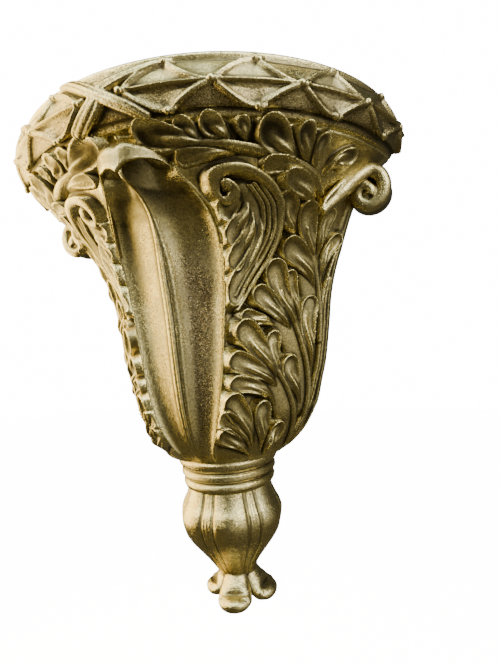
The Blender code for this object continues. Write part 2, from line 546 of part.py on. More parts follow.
def make_feet(target):
    """Rounded scroll feet that flare out from the legs of the finial."""
    spine = [(-4.5, 30.0, 4.0, 3.2), (-4.0, 21.0, 5.2, 4.2), (-1.6, 14.0, 7.4, 5.2), (2.0, 9.6, 9.0, 5.8),
             (5.4, 7.6, 9.6, 5.8), (8.2, 7.4, 8.8, 5.2), (10.0, 8.8, 6.0, 3.8), (10.6, 10.0, 2.4, 1.6)]
    knots = np.linspace(0, 1, len(spine))
    reach, height, half, thick = (curve(list(zip(knots, column))) for column in zip(*spine))
    for azimuth, heel, low, size in FEET:
        turn = math.radians(azimuth)
        outward = np.array([math.sin(turn), -math.cos(turn), 0.0])
        sideways = np.array([math.cos(turn), math.sin(turn), 0.0])

        def shape(u, v):
            step = 0.004
            run = reach(u + step) - reach(u - step)
            drop = height(u + step) - height(u - step)
            length = np.hypot(run, drop)
            swing = 2 * math.pi * v
            rise = np.cos(swing)
            off = thick(u) * (rise - 0.5 * ease((u - 0.35) / 0.3) * np.clip(rise, 0, 1) ** 3)
            r = heel + size * (reach(u) - off * drop / length)
            z = low + size * (height(u) + off * run / length)
            flat = np.outer(r, outward) + np.outer(size * half(u) * np.sin(swing), sideways)
            return flat + np.stack([lean(z), 0 * z + NECK_Y, z], -1)
        finish(mesh_sheet(20, 12, shape, closed=True), target)


def rim_radius(z):
    """Radius of the cushion-shaped rim at a height."""
    return np.interp(z, [row[1] for row in RIM], [row[0] for row in RIM])


def rim(azimuth, z, h):
    turn = np.radians(np.asarray(azimuth, float))
    radius = rim_radius(z) + h
    return np.stack([radius * np.sin(turn), SHELF_Y - radius * np.cos(turn), z + 0 * turn], -1)


# The ribbons that cross at the front: azimuth and height of their places, half width, level
RIBBONS = [
    ([(14.0, 11.0), (7.5, 7.8), (2.0, 5.0), (0.0, 2.0), (-1.0, -2.0), (-3.5, -6.0), (-7.5, -10.2)],
     (1.4, 2.0, 2.6, 3.4, 3.8, 3.8, 3.4), 0.2),
    ([(-12.5, 14.2), (-8.0, 10.5), (-1.0, 2.0), (2.5, -2.5), (6.0, -6.5), (9.5, -10.2)],
     (1.8, 2.4, 2.7, 2.6, 2.4, 1.8), 0.9),
]


def make_net(target):
    """The net of ribs on the rim, its knots, and the two ribbons that cross at the front."""
    top, middle, bottom = (KNOT_HEIGHTS[name] for name in ("top", "middle", "bottom"))
    rib, lift = RIB, RIB - RIB_FOOT
    for i in range(5):
        here = KNOT_FIRST + KNOT_STEP * i
        side = here + KNOT_STEP / 2
        for upper, lower, start, end in ((top, middle, side, here), (top, middle, side, here + KNOT_STEP),
                                         (middle, bottom, here, side),
                                         (middle, bottom, here, side - KNOT_STEP)):
            if max(start, end) > 96 or min(start, end) < 0:
                continue
            points = [(start + (end - start) * t, lower + (upper - lower) * (1 - t) ** 1.7, lift)
                      for t in (0.0, 0.33, 0.66, 1.0)]
            mirrored(swept(points, (rib, rib), rim, 10, 6), target)
        if here + KNOT_STEP < 96:
            points = [(here + KNOT_STEP * t, middle, lift) for t in (0.0, 0.5, 1.0)]
            mirrored(swept(points, (rib * 0.9, rib * 0.6, rib * 0.9), rim, 8, 6), target)
        for azimuth, z in ((here, middle), (side, top), (side, bottom)):
            if azimuth < 91:
                knot = bmesh.new()
                bmesh.ops.create_icosphere(knot, subdivisions=1, radius=KNOT)
                bmesh.ops.translate(knot, vec=Vector(rim(azimuth, z, 0.2)), verts=knot.verts)
                mirrored(knot, target)
    for places, radii, level in RIBBONS:
        points = [(azimuth, z, level) for azimuth, z in places]
        finish(swept(points, radii, rim, 24, 8, flat=0.45), target)


def fuse(bm, name):
    """Fuse all shapes into one skin, reduce it, and cut it flat at the wall and the top."""
    mesh = bpy.data.meshes.new(name)
    bm.to_mesh(mesh)
    bm.free()
    casting = bpy.data.objects.new(name, mesh)
    bpy.context.scene.collection.objects.link(casting)
    remesh = casting.modifiers.new("fuse", "REMESH")
    remesh.mode = "VOXEL"
    remesh.voxel_size = VOXEL
    reduce_mesh(casting, remesh)
    cut = bmesh.new()
    cut.from_mesh(casting.data)
    bmesh.ops.smooth_vert(cut, verts=cut.verts, factor=0.5,
                          use_axis_x=True, use_axis_y=True, use_axis_z=True)
    for place, normal in (((0, 0, 0), (0, 1, 0)), ((0, 0, SHELF_TOP - 0.15), (0, 0, 1))):
        flat_cut(cut, place, normal)
    cut.to_mesh(casting.data)
    cut.free()
    ratio = casting.modifiers.new("reduce", "DECIMATE")
    ratio.ratio = TRIANGLES / sum(len(face.vertices) - 2 for face in casting.data.polygons)
    reduce_mesh(casting, ratio)
    return casting


def flat_cut(bm, place, normal):
    """Take off what lies past a plane and close the cut with one flat face."""
    geometry = bm.verts[:] + bm.edges[:] + bm.faces[:]
    bmesh.ops.bisect_plane(bm, geom=geometry, dist=1e-4, plane_co=place, plane_no=normal,
                           clear_outer=True)
    edges = [edge for edge in bm.edges if edge.is_boundary]
    made = bmesh.ops.edgenet_fill(bm, edges=edges)["faces"]
    bmesh.ops.triangulate(bm, faces=made)


def reduce_mesh(casting, modifier):
    """Put a modifier's result into the object's own mesh."""
    graph = bpy.context.evaluated_depsgraph_get()
    result = bpy.data.meshes.new_from_object(casting.evaluated_get(graph))
    casting.modifiers.remove(modifier)
    old = casting.data
    casting.data = result
    bpy.data.meshes.remove(old)


def settle(casting):
    """Put the points of the flat faces exactly on their planes and scale to metres."""
    bm = bmesh.new()
    bm.from_mesh(casting.data)
    top = max(vert.co.z for vert in bm.verts)
    for vert in bm.verts:
        if vert.co.y > -0.05:
            vert.co.y = 0.0
        if vert.co.z > top - 0.05:
            vert.co.z = SHELF_TOP
    bmesh.ops.scale(bm, vec=(MM, MM, MM), verts=bm.verts)
    bmesh.ops.triangulate(bm, faces=bm.faces)
    bmesh.ops.recalc_face_normals(bm, faces=bm.faces)
    bm.to_mesh(casting.data)
    bm.free()
    casting.data.shade_smooth()
    casting.data.set_sharp_from_angle(angle=math.radians(50))


def gold_paint():
    """Satin metallic gold paint."""
    material = bpy.data.materials.new("gold_paint")
    material.use_nodes = True
    shader = material.node_tree.nodes["Principled BSDF"]
    shader.inputs["Base Color"].default_value = (0.55, 0.40, 0.16, 1.0)
    shader.inputs["Metallic"].default_value = 0.9
    shader.inputs["Roughness"].default_value = 0.38
    return material


def main():
    for item in list(bpy.data.objects):
        bpy.data.objects.remove(item)
    shapes = bmesh.new()
    make_core(shapes)
    make_leaves(shapes)
    make_scrolls(shapes)
    make_lip(shapes)
    make_feet(shapes)
    make_net(shapes)
    casting = fuse(shapes, "bracket")
    settle(casting)
    casting.data.materials.clear()
    casting.data.materials.append(gold_paint())


main()
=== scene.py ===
"""Wall console bracket: the carving, the net of the rim and the gold paint of one casting.

The wall is the plane y = 0, the front looks along -Y and +Z is up. Shapes are drawn in
millimetres and scaled to metres when a piece is finished.
"""

import math

import bmesh
import bpy
import numpy as np
from mathutils import Matrix, Vector


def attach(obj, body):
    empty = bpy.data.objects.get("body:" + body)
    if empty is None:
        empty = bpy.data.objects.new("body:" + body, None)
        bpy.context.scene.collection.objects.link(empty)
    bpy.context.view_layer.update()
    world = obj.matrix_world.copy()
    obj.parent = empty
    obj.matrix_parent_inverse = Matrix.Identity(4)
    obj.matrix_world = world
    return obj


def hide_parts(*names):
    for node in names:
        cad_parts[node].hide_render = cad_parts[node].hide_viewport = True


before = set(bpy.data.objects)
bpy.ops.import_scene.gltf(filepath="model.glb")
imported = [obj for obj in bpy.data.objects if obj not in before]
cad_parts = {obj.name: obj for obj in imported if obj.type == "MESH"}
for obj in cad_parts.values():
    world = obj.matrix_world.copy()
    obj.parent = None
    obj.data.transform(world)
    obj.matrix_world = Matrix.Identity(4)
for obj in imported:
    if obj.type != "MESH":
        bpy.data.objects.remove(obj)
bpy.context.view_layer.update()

MM = 0.001               # one millimetre in metres

SHELF_Y = 11.4           # the centre of the shelf's round lies this far behind the wall
SHELF_R = 120.0          # the shelf's radius at the middle of its rim
SHELF_TOP = 15.5
KNOT_FIRST = 5.2         # azimuth of the first knots beside the ribbons
KNOT_STEP = 18.4         # azimuth from one knot to the next in a row
KNOT_HEIGHTS = {"top": 10.1, "middle": 0.0, "bottom": -9.8}
CORD_REACH = 9.0         # how far from its line a cord of the net is felt
NECK_Y = -9.0            # where the axis of neck and finial stands in front of the wall
PETAL_STEP = 54.0        # azimuth from one petal to the next
FINIAL_TURN = -6.0       # azimuth of the strip between the front petals
# The feet of the finial: azimuth, distance of the heel from the axis, lowest level, size
FEET = [(-60, 8.5, -267.0, 0.95), (12, 11.5, -270.0, 1.08), (88, 10.5, -270.0, 1.08)]
SIDE_RETURN = 7.5        # the side panels end this far in front of the wall
PANEL_SPAN = 75.0        # a side panel's places run from 0 at the flute to this at the wall
BELL_LOW, BELL_HIGH = -175, -12
NECK_LEVELS = (-196, -174, 80)          # lowest, highest, count of rows
PETAL_LEVELS = (-259, -194.5, 220)
LOBE_ROOT = -0.8         # height of a leaf lobe's base over the panel
LOBE_HOLLOW = 0.52       # depth of a lobe's bowl, as a part of its width
SKIRT = 4.0              # slope of what falls away outside a carved thing
VOXEL = 0.48             # cell size of the pieces that are fused from several shapes
WALL_MARGIN = -0.6       # what lies behind this is plain back, without marks
HOLLOW_PASSES = 70       # rounds of smoothing that tell broad hollows
NICK_PASSES = 8          # and those that tell sharp ones
EVEN_GRIT = 0.08         # the grain of a piece without a grain of its own


def curve(table):
    """Smooth monotone interpolation through a few (place, value) pairs."""
    rows = sorted(table)
    x = np.array([row[0] for row in rows], float)
    y = np.array([row[1] for row in rows], float)
    step = np.diff(x)
    slope = np.diff(y) / step
    tangent = np.zeros(len(x))
    for i in range(1, len(x) - 1):
        if slope[i - 1] * slope[i] > 0:
            tangent[i] = 2 * slope[i - 1] * slope[i] / (slope[i - 1] + slope[i])
    tangent[0], tangent[-1] = slope[0], slope[-1]

    def read(at):
        at = np.clip(np.asarray(at, float), x[0], x[-1])
        i = np.clip(np.searchsorted(x, at) - 1, 0, len(step) - 1)
        t = (at - x[i]) / step[i]
        low = (1 + 2 * t) * (1 - t) ** 2 * y[i] + t * (1 - t) ** 2 * step[i] * tangent[i]
        high = t * t * (3 - 2 * t) * y[i + 1] - t * t * (1 - t) * step[i] * tangent[i + 1]
        return low + high
    return read


def ease(x):
    """A smooth step from 0 to 1."""
    x = np.clip(x, 0.0, 1.0)
    return x * x * (3 - 2 * x)


# Profiles of the bell over height: the ridge between the flutes, the flutes' outer edges (x
# and y), the wall edge of the sides, how far the sides swell, and the flutes' depth
RIDGE = curve([(-175, 40.6), (-169, 46.6), (-155, 55.0), (-137, 59.8), (-114, 62.6), (-92, 64.4),
               (-76, 66.8), (-56, 70.3), (-42, 75.5), (-36, 81.0), (-32, 87.5), (-29, 96.5),
               (-27, 98.0), (-22, 96.0), (-17, 95.0), (-13, 98.0), (-11, 99.5)])
EDGE_X = curve([(-175, 8.4), (-167, 10.8), (-157, 15.0), (-144, 19.2), (-128, 22.5), (-106, 25.6),
                (-85, 27.9), (-66, 29.9), (-54, 30.7), (-42, 29.8), (-34, 25.4), (-26, 20.2),
                (-21, 19.6), (-16, 20.6), (-11, 24.1)])
EDGE_Y = curve([(-175, 39.6), (-167, 48.8), (-157, 53.6), (-144, 56.0), (-128, 56.8), (-106, 56.6),
                (-85, 56.6), (-66, 58.9), (-54, 61.9), (-42, 67.1), (-34, 75.2), (-26, 84.2),
                (-21, 86.0), (-16, 87.0), (-13, 90.0), (-11, 97.0)])
WALL_X = curve([(-175, 38.2), (-171.2, 43.8), (-164.8, 50.2), (-158.6, 54.4), (-152.4, 57.9),
                (-146.3, 60.8), (-134.2, 64.1), (-122.2, 67.3), (-110.3, 69.4), (-98.4, 71.2),
                (-86.6, 72.8), (-74.9, 75.3), (-63.4, 78.9), (-57.8, 81.0), (-48.6, 84.2),
                (-37.3, 88.6), (-28, 93.4), (-22.9, 97.4), (-16, 104.7), (-11, 111.6)])
SWELL = curve([(-175, 8.0), (-168, 5.0), (-155, 2.4), (-140, 1.0), (-120, 0.2), (-90, 0.2),
               (-65, 1.6), (-48, 5.0), (-38, 9.5), (-30, 13.5), (-23, 16.2), (-11, 18.5)])
FLUTE_DEPTH = curve([(-175, 0.4), (-164, 2.0), (-138, 3.5), (-106, 4.3), (-66, 5.2), (-45, 5.8),
                     (-30, 6.0), (-22, 5.0), (-11, 2.0)])
# The flutes' own sweep under the lip, which the ridge stands out of
FLUTE_SWEEP = curve([(-44, 74.5), (-38, 77.3), (-32, 80.5), (-26, 83.9), (-20, 87.4), (-16, 90.5),
                     (-13, 97.0), (-11, 99.5)])
# How deep the side panels' ground lies under their frame
PANEL_SINK = curve([(-175, 0.0), (-167, 1.6), (-148, 2.4), (-66, 2.4), (-42, 2.0), (-30, 0.6),
                    (-20, 0.0), (-11, 0.0)])
# Radii over height of the neck rings and the finial
NECK = curve([(-196.0, 25.0), (-195.2, 26.6), (-193.9, 28.1), (-191.9, 28.7), (-190.0, 28.2),
              (-188.9, 27.2), (-188.0, 28.2), (-186.2, 29.6), (-184.0, 29.4), (-182.6, 28.2),
              (-181.7, 29.2), (-179.8, 30.8), (-177.2, 31.2), (-175.6, 30.6), (-174.0, 31.0)])
PETALS = curve([(-259, 4.0), (-256, 9.5), (-251, 12.3), (-246, 15.0), (-241, 18.3), (-233.4, 24.0),
                (-227, 28.7), (-220.7, 31.9), (-213, 33.3), (-208, 32.1), (-203, 29.5), (-198, 27.6),
                (-194.5, 26.6)])
# The rim's profile from below to the top: radius and height
RIM = [(108.0, -11.4), (112.5, -11.0), (114.8, -10.9), (116.6, -9.8), (118.0, -7.6), (119.2, -5.0),
       (119.9, -2.5), (120.0, 0.0), (119.8, 2.5), (119.2, 5.0), (118.2, 7.6), (117.0, 10.1),
       (115.0, 12.8), (113.4, 14.5), (112.0, 15.5)]
# The radius of the frieze's ground over height, and the radius its places are measured on
FRIEZE_R = curve([(-38, 84), (-30, 91), (-23, 99), (-13, 108.5), (-9, 112)])
FRIEZE_ROUND = 98.0
FRIEZE_SPAN = 140.0                      # how far it goes round on that radius
FRIEZE_LOW, FRIEZE_HIGH = -41.0, -9.2
FRIEZE_FRONT, FRIEZE_BACK = -1.5, -1.0   # its face and its back end just off the wall


def panel(s, z, h):
    """A place on the right side panel: s from flute edge to wall, height z, h outwards."""
    p = np.asarray(s, float) / PANEL_SPAN
    z = np.asarray(z, float)
    ax, ay, bx = EDGE_X(z), -EDGE_Y(z), WALL_X(z)
    dx, dy = bx - ax, -SIDE_RETURN - ay
    size = np.hypot(dx, dy)
    nx, ny = dy / size, -dx / size
    lift = SWELL(z) * 4 * p * (1 - p) + h
    return np.stack([ax + dx * p + nx * lift, ay + dy * p + ny * lift, z + 0 * p], -1)


def nearest(path, a, b):
    """For points (a, b): the place along a drawn line (0 to 1), and the distance to its left."""
    ahead = np.gradient(path, axis=0)
    step = np.linalg.norm(ahead, axis=1)
    ahead /= step[:, None]
    gap = (a[:, None] - path[None, :, 0]) ** 2 + (b[:, None] - path[None, :, 1]) ** 2
    i = np.argmin(gap, axis=1)
    da, db = a - path[i, 0], b - path[i, 1]
    along = (da * ahead[i, 0] + db * ahead[i, 1]) / step[i]
    across = db * ahead[i, 0] - da * ahead[i, 1]
    return (i + along) / (len(path) - 1), across


def drawn(points, count):
    """A smooth line through a few places, with its points evenly spaced."""
    points = np.array(points, float)
    ends = np.concatenate([[2 * points[0] - points[1]], points, [2 * points[-1] - points[-2]]])
    line = []
    for a, b, c, d in zip(ends, ends[1:], ends[2:], ends[3:]):
        t = np.linspace(0, 1, 24, endpoint=False)[:, None]
        line.append(0.5 * (2 * b + (c - a) * t + (2 * a - 5 * b + 4 * c - d) * t ** 2
                           + (3 * b - 3 * c + d - a) * t ** 3))
    line = np.concatenate(line + [points[-1:]])
    run = np.concatenate([[0], np.cumsum(np.linalg.norm(np.diff(line, axis=0), axis=1))])
    at = np.linspace(0, run[-1], count)
    return np.stack([np.interp(at, run, column) for column in line.T], -1)


class Relief:
    """Heights over a field of places (a, b); each thing carved is added on top of the rest."""

    def __init__(self, a, b, ground):
        self.a, self.b = a.ravel(), b.ravel()
        self.height = np.broadcast_to(ground, a.shape).ravel().copy()

    def near(self, path, reach):
        """Which places lie in the box around a line."""
        low, high = path[:, :2].min(0) - reach, path[:, :2].max(0) + reach
        inside = (self.a > low[0]) & (self.a < high[0]) & (self.b > low[1]) & (self.b < high[1])
        return np.flatnonzero(inside)

    def raise_to(self, where, height):
        """Carve: the higher of what is there and what is new stands."""
        self.height[where] = np.maximum(self.height[where], height)

    def lobe(self, points, width, lift, ground=-2.4):
        """A leaf lobe along points from its tip to its base: a hood over a hollow, a rounded stalk."""
        path = drawn(points[::-1], 70)
        length = np.linalg.norm(np.diff(path, axis=0), axis=1).sum()
        where = self.near(path, width + 7)
        u, across = nearest(path, self.a[where], self.b[where])
        cap = min(1.15 * width / length, 0.5)
        half = width * (0.22 + 0.78 * ease(u / (1 - cap)))
        past = np.clip((u - 1 + cap) / cap, 0, None)
        rho = np.sqrt(past ** 2 + (across / half) ** 2)
        inside = np.clip(rho, 0, 1)
        sway = across / half
        tilt = 0.16 * lift * np.clip(sway, -1, 1) * ease((u - 0.4) / 0.3)
        rise = LOBE_ROOT + (lift - LOBE_ROOT) * ease(0.12 + u / 0.8) - tilt
        bowl = LOBE_HOLLOW * width * ease((u - 0.3) / 0.42) * (1 - inside ** 4.5)
        swell = 0.55 * half * (1 - ease((u - 0.25) / 0.45)) * (1 - inside ** 2)
        crest = 0.3 * width * np.exp(-((sway - 0.2) / 0.34) ** 2)
        tongue = crest * ease((0.88 - u) / 0.3) * ease((u - 0.1) / 0.3)
        outside = np.clip((rho - 1) * half, 0, None)
        reach = 0.7 + 1.3 * ease((u - 0.55) / 0.4)
        skirt = ground + (rise - ground) * np.exp(-outside / reach) - 0.35 * outside
        skirt -= SKIRT * np.clip(outside - 3.0, 0, None)
        shape = rise - bowl + swell + tongue * (1 - inside ** 4)
        self.raise_to(where, np.where(rho < 1, shape, skirt) - 3.0 * np.clip(-u, 0, None) * length)

    def rib(self, points, radii, count=160, groove=0.0, flat=1.0):
        """A rounded rib along a line; points are (a, b, height of its foot)."""
        path = drawn(points, count)
        where = self.near(path, max(radii) + 2)
        u, across = nearest(path, self.a[where], self.b[where])
        inside = np.clip(u, 0, 1)
        radius = curve(list(zip(np.linspace(0, 1, len(radii)), radii)))(inside)
        foot = np.interp(inside, np.linspace(0, 1, count), path[:, 2])
        length = np.linalg.norm(np.diff(path[:, :2], axis=0), axis=1).sum()
        away = np.hypot(across, np.clip(np.abs(u - 0.5) - 0.5, 0, None) * length)
        t = away / radius
        top = flat * radius * np.sqrt(np.clip(1 - t ** 2, 0, 1))
        cut = groove * np.exp(-((t - 0.42) / 0.14) ** 2)
        wall = SKIRT * np.clip(away - radius, 0, None)
        self.raise_to(where, foot + top - cut - wall)

    def knob(self, a, b, foot, radius, flat=1.0):
        """A round knob at a place."""
        where = self.near(np.array([[a, b]]), radius + 2)
        away = np.hypot(self.a[where] - a, self.b[where] - b)
        top = flat * np.sqrt(np.clip(radius ** 2 - away ** 2, 0, None))
        self.raise_to(where, foot + top - SKIRT * np.clip(away - radius, 0, None))


def hollows(mesh, passes):
    """How far each point lies under the smoothed surface, in millimetres."""
    count = len(mesh.vertices)
    places = np.empty(count * 3)
    normals = np.empty(count * 3)
    mesh.vertices.foreach_get("co", places)
    mesh.vertices.foreach_get("normal", normals)
    ends = np.empty(len(mesh.edges) * 2, np.int32)
    mesh.edges.foreach_get("vertices", ends)
    a, b = ends.reshape(-1, 2).T
    degree = np.bincount(ends, minlength=count).clip(1)
    places = places.reshape(-1, 3)
    even = places.copy()
    for _ in range(passes):
        for axis in range(3):
            total = np.bincount(a, even[b, axis], count) + np.bincount(b, even[a, axis], count)
            even[:, axis] = 0.5 * even[:, axis] + 0.5 * total / degree
    return np.sum((even - places) * normals.reshape(-1, 3), axis=1) / MM


def dress(name, bm, material, grit=None):
    """Finish a closed bmesh as a piece: metres, the marks that its paint reads, the paint."""
    places = np.array([vert.co for vert in bm.verts])
    bmesh.ops.scale(bm, vec=(MM, MM, MM), verts=bm.verts)
    mesh = bpy.data.meshes.new(name)
    bm.to_mesh(mesh)
    bm.free()
    # The marks: hollow and nick set painted shade in hollows and creases, under_rim the painted shade
    # under the rim, grit the grain
    marks = {"hollow": hollows(mesh, HOLLOW_PASSES), "nick": hollows(mesh, NICK_PASSES),
             "painted_shade": under_rim(places),
             "grit": np.full(len(places), EVEN_GRIT) if grit is None else grit(places)}
    for label, values in marks.items():
        values = np.where(places[:, 1] > WALL_MARGIN, 0.0, values)
        mark = mesh.attributes.new(label, "FLOAT", "POINT")
        mark.data.foreach_set("value", values.astype(np.float32))
    mesh.materials.append(material)
    piece = bpy.data.objects.new(name, mesh)
    bpy.context.scene.collection.objects.link(piece)
    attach(piece, "root")
    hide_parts("bracket")


def skin(places):
    """A smooth bmesh over a grid of places."""
    rows, columns = places.shape[:2]
    bm = bmesh.new()
    bmesh.ops.create_grid(bm, x_segments=columns - 1, y_segments=rows - 1, size=0.5)
    for vert in bm.verts:
        i = round((vert.co.x + 0.5) * (columns - 1))
        j = round((vert.co.y + 0.5) * (rows - 1))
        vert.co = places[j, i]
    for face in bm.faces:
        face.smooth = True
    return bm


def cast(places, back=0.0):
    """A closed solid whose face is a grid of places and whose back is flat, parallel to the wall."""
    bm = skin(places)
    rim = [edge for edge in bm.edges if edge.is_boundary]
    made = bmesh.ops.extrude_edge_only(bm, edges=rim)["geom"]
    behind = [item for item in made if isinstance(item, bmesh.types.BMVert)]
    for vert in behind:
        vert.co.y = back
    edge_verts = list(dict.fromkeys(vert for edge in rim for vert in edge.verts)) + behind
    bmesh.ops.remove_doubles(bm, verts=edge_verts, dist=0.02)
    bmesh.ops.dissolve_degenerate(bm, edges=bm.edges[:], dist=1e-5)
    open_edges = [edge for edge in bm.edges if edge.is_boundary]
    filled = bmesh.ops.holes_fill(bm, edges=open_edges, sides=0)["faces"]
    for face in bmesh.ops.triangulate(bm, faces=filled)["faces"]:
        face.smooth = False
    bmesh.ops.recalc_face_normals(bm, faces=bm.faces)
    return bm


def tube(places):
    """A closed skin from a grid of places that meets itself round; its ends are filled."""
    bm = skin(places)
    bmesh.ops.remove_doubles(bm, verts=bm.verts, dist=1e-4)
    open_edges = [edge for edge in bm.edges if edge.is_boundary]
    bmesh.ops.holes_fill(bm, edges=open_edges, sides=0)
    bmesh.ops.triangulate(bm, faces=[face for face in bm.faces if len(face.verts) > 4])
    bmesh.ops.recalc_face_normals(bm, faces=bm.faces)
    return bm


def grid_of(u, v):
    """Two arrays over rows (v) and columns (u)."""
    return np.meshgrid(np.asarray(u, float), np.asarray(v, float))


def swept(points, radii, steps, sides):
    """Places of a tube along points (x, y, z), with a radius at each."""
    path = drawn(points, steps)
    ahead = np.gradient(path, axis=0)
    ahead /= np.linalg.norm(ahead, axis=1, keepdims=True)
    front = np.array([0.0, -1.0, 0.0])
    out = front - ahead * (ahead @ front)[:, None]
    out /= np.linalg.norm(out, axis=1, keepdims=True)
    side = np.cross(ahead, out)
    size = curve(list(zip(np.linspace(0, 1, len(radii)), radii)))(np.linspace(0, 1, steps))
    turn = np.linspace(0, 2 * math.pi, sides)[:, None]
    return path + (size * np.cos(turn))[..., None] * out + (size * np.sin(turn))[..., None] * side


# Acanthus lobes of a side panel: places from tip to base on the panel, half width and lift
PANEL_LOBES = [
    ([(4.2, -88.0), (6.5, -77.0), (13.8, -66.5), (19.5, -53.0), (19.0, -36.0)], 5.4, 3.8),
    ([(3.2, -70.5), (7.8, -61.5), (14.5, -51.5), (17.0, -37.0)], 4.8, 3.9),
    ([(2.2, -58.0), (7.0, -50.5), (12.8, -44.0), (16.5, -35.5)], 4.2, 4.0),
    ([(1.2, -46.5), (5.5, -41.8), (11.0, -38.5), (15.5, -35.0)], 3.9, 4.0),
    ([(33.0, -32.5), (38.0, -31.6), (44.0, -35.5), (50.0, -43.0)], 4.6, 5.0),
    ([(33.5, -35.0), (34.2, -38.5), (35.5, -46.0), (43.0, -57.0)], 4.4, 3.0),
    ([(44.8, -38.2), (45.5, -46.5), (51.0, -57.5), (61.0, -72.0)], 4.8, 5.0),
    ([(60.8, -40.0), (58.6, -46.0), (58.3, -54.0), (60.0, -67.0)], 3.4, 4.4),
    ([(72.6, -52.3), (67.0, -58.0), (64.8, -66.0), (65.5, -80.0)], 4.2, 4.6),
    ([(33.0, -57.8), (39.0, -60.0), (48.0, -65.5), (58.0, -75.0), (64.0, -87.0)], 5.8, 4.6),
    ([(41.3, -70.6), (42.2, -78.5), (47.5, -88.5), (54.5, -103.0)], 4.2, 3.6),
    ([(60.8, -85.0), (58.0, -92.0), (58.0, -102.0), (61.5, -115.5), (65.5, -133.0)], 5.8, 4.4),
    ([(27.5, -65.5), (31.0, -73.5), (37.0, -84.5), (46.0, -97.0), (53.5, -111.0)], 6.4, 5.0),
    ([(16.5, -80.8), (22.5, -83.6), (30.0, -88.5), (40.0, -97.0), (50.0, -109.0)], 5.2, 4.5),
    ([(9.5, -93.0), (18.0, -95.0), (27.0, -96.5), (38.0, -101.0)], 3.8, 3.4),
    ([(33.3, -102.5), (31.8, -109.5), (33.8, -118.0), (41.0, -131.0)], 4.6, 4.2),
    ([(45.6, -116.5), (46.5, -124.5), (52.0, -133.5), (61.0, -146.0)], 5.4, 4.6),
    ([(6.5, -98.0), (14.0, -103.0), (22.0, -111.0), (32.0, -121.5), (43.0, -134.0)], 6.6, 5.0),
    ([(2.4, -114.8), (12.0, -118.0), (23.0, -123.0), (33.5, -129.0), (45.0, -139.0)], 5.4, 4.6),
    ([(3.8, -127.8), (13.0, -129.0), (22.5, -131.5), (32.5, -137.0), (43.5, -147.0)], 4.4, 4.2),
    ([(2.8, -134.6), (10.5, -142.0), (19.5, -153.0), (33.0, -170.0)], 6.2, 4.8),
    ([(28.2, -139.5), (29.5, -148.5), (33.5, -159.0), (38.0, -172.0)], 5.0, 4.4),
    ([(-1.0, -144.5), (8.5, -149.5), (19.5, -157.5), (31.0, -170.0)], 4.7, 4.2),
    ([(2.0, -153.5), (10.0, -158.5), (20.0, -164.5), (31.0, -172.5)], 4.2, 3.4),
    ([(46.5, -153.6), (44.5, -160.0), (42.5, -167.0), (42.0, -175.0)], 5.4, 4.0),
]
# Stems of a side panel: places with the height of their foot, and the radius from base to end
PANEL_STEMS = [
    ([(62.5, -168, 0.6), (55.8, -151, 1.4), (47.3, -136.5, 2.0), (38.5, -126, 2.4), (30.0, -117, 2.6),
      (24, -111, 2.4)], (2.1, 1.9, 1.7, 1.4, 0.9)),
    ([(66.3, -152, 0.6), (64.3, -137, 1.2), (59.0, -122.5, 1.8), (53.5, -111, 2.3), (46.5, -98.5, 2.6),
      (40.5, -89, 2.6), (36.0, -81.5, 2.2)], (1.9, 1.9, 1.8, 1.4, 0.9)),
    ([(69.0, -110, 0.2), (67.0, -92, 1.0), (63.2, -79.5, 1.6), (57.5, -68, 2.2), (50.0, -57, 2.6),
      (46.5, -50, 2.4)], (1.8, 1.7, 1.5, 1.2, 0.8)),
    ([(61.5, -166, 0.2), (67.6, -145, -0.2), (69.6, -128, -0.3), (69.8, -107, -0.3), (69.6, -90, -0.3),
      (71.0, -75, -0.3), (73.0, -61, -0.5)], (1.0, 1.0, 1.0)),
    ([(66.0, -162, -0.4), (70.6, -145, -0.8), (72.2, -128, -0.8), (72.4, -107, -0.8), (72.2, -90, -0.8),
      (73.2, -75, -0.8)], (0.9, 0.9, 0.9)),
]
# The swellings under the leaves, given as the stems are
PANEL_BODIES = [
    ([(58, -166, -1.6), (50, -148, -1.2), (40, -132, -0.8), (28, -121, -0.8), (18, -112, -1.4)],
     (6, 9, 9, 6)),
    ([(63, -148, -1.6), (58, -126, -1.2), (50, -110, -0.8), (40, -95, -0.8), (32, -82, -1.2)],
     (5, 8, 9, 6)),
    ([(66, -105, -1.8), (62, -85, -1.2), (54, -68, -0.8), (48, -55, -1.2)], (5, 8, 8, 5)),
    ([(34, -172, -1.4), (27, -160, -1.0), (20, -150, -1.4)], (6, 8, 5)),
    ([(18, -38, -0.6), (17, -52, -0.8), (12, -68, -1.4)], (6, 8, 4)),
]
# Leaf spray and palmette under the rim: places from tip to base round the frieze
FRIEZE_LOBES = [
    ([(8.6, -13.6), (17.5, -15.8), (27.5, -17.8), (41.0, -19.2)], 4.8, 4.6),
    ([(24.6, -12.9), (29.0, -14.4), (32.0, -16.8), (36.0, -19.0)], 3.2, 3.8),
    ([(34.6, -12.2), (39.5, -14.2), (43.0, -16.4), (48.0, -19.6)], 3.6, 3.9),
    ([(49.2, -11.8), (51.0, -14.6), (52.0, -17.4), (53.0, -20.4)], 2.4, 3.4),
    ([(22.4, -23.4), (30.5, -22.8), (40.0, -21.8), (50.0, -21.2)], 2.5, 3.4),
    ([(57.6, -12.9), (63.0, -16.8), (70.0, -21.0), (82.0, -25.5)], 5.2, 5.2),
    ([(76.2, -11.8), (77.0, -15.8), (80.0, -20.0), (86.0, -26.0)], 3.4, 4.8),
    ([(86.5, -14.2), (86.5, -18.5), (87.5, -23.0), (91.0, -28.0)], 2.6, 4.0),
    ([(109.4, -19.0), (101.0, -20.6), (97.0, -24.5), (98.0, -31.0)], 3.2, 4.4),
    ([(60.6, -26.8), (69.5, -26.0), (80.0, -26.6), (94.0, -30.5)], 2.8, 5.0),
]
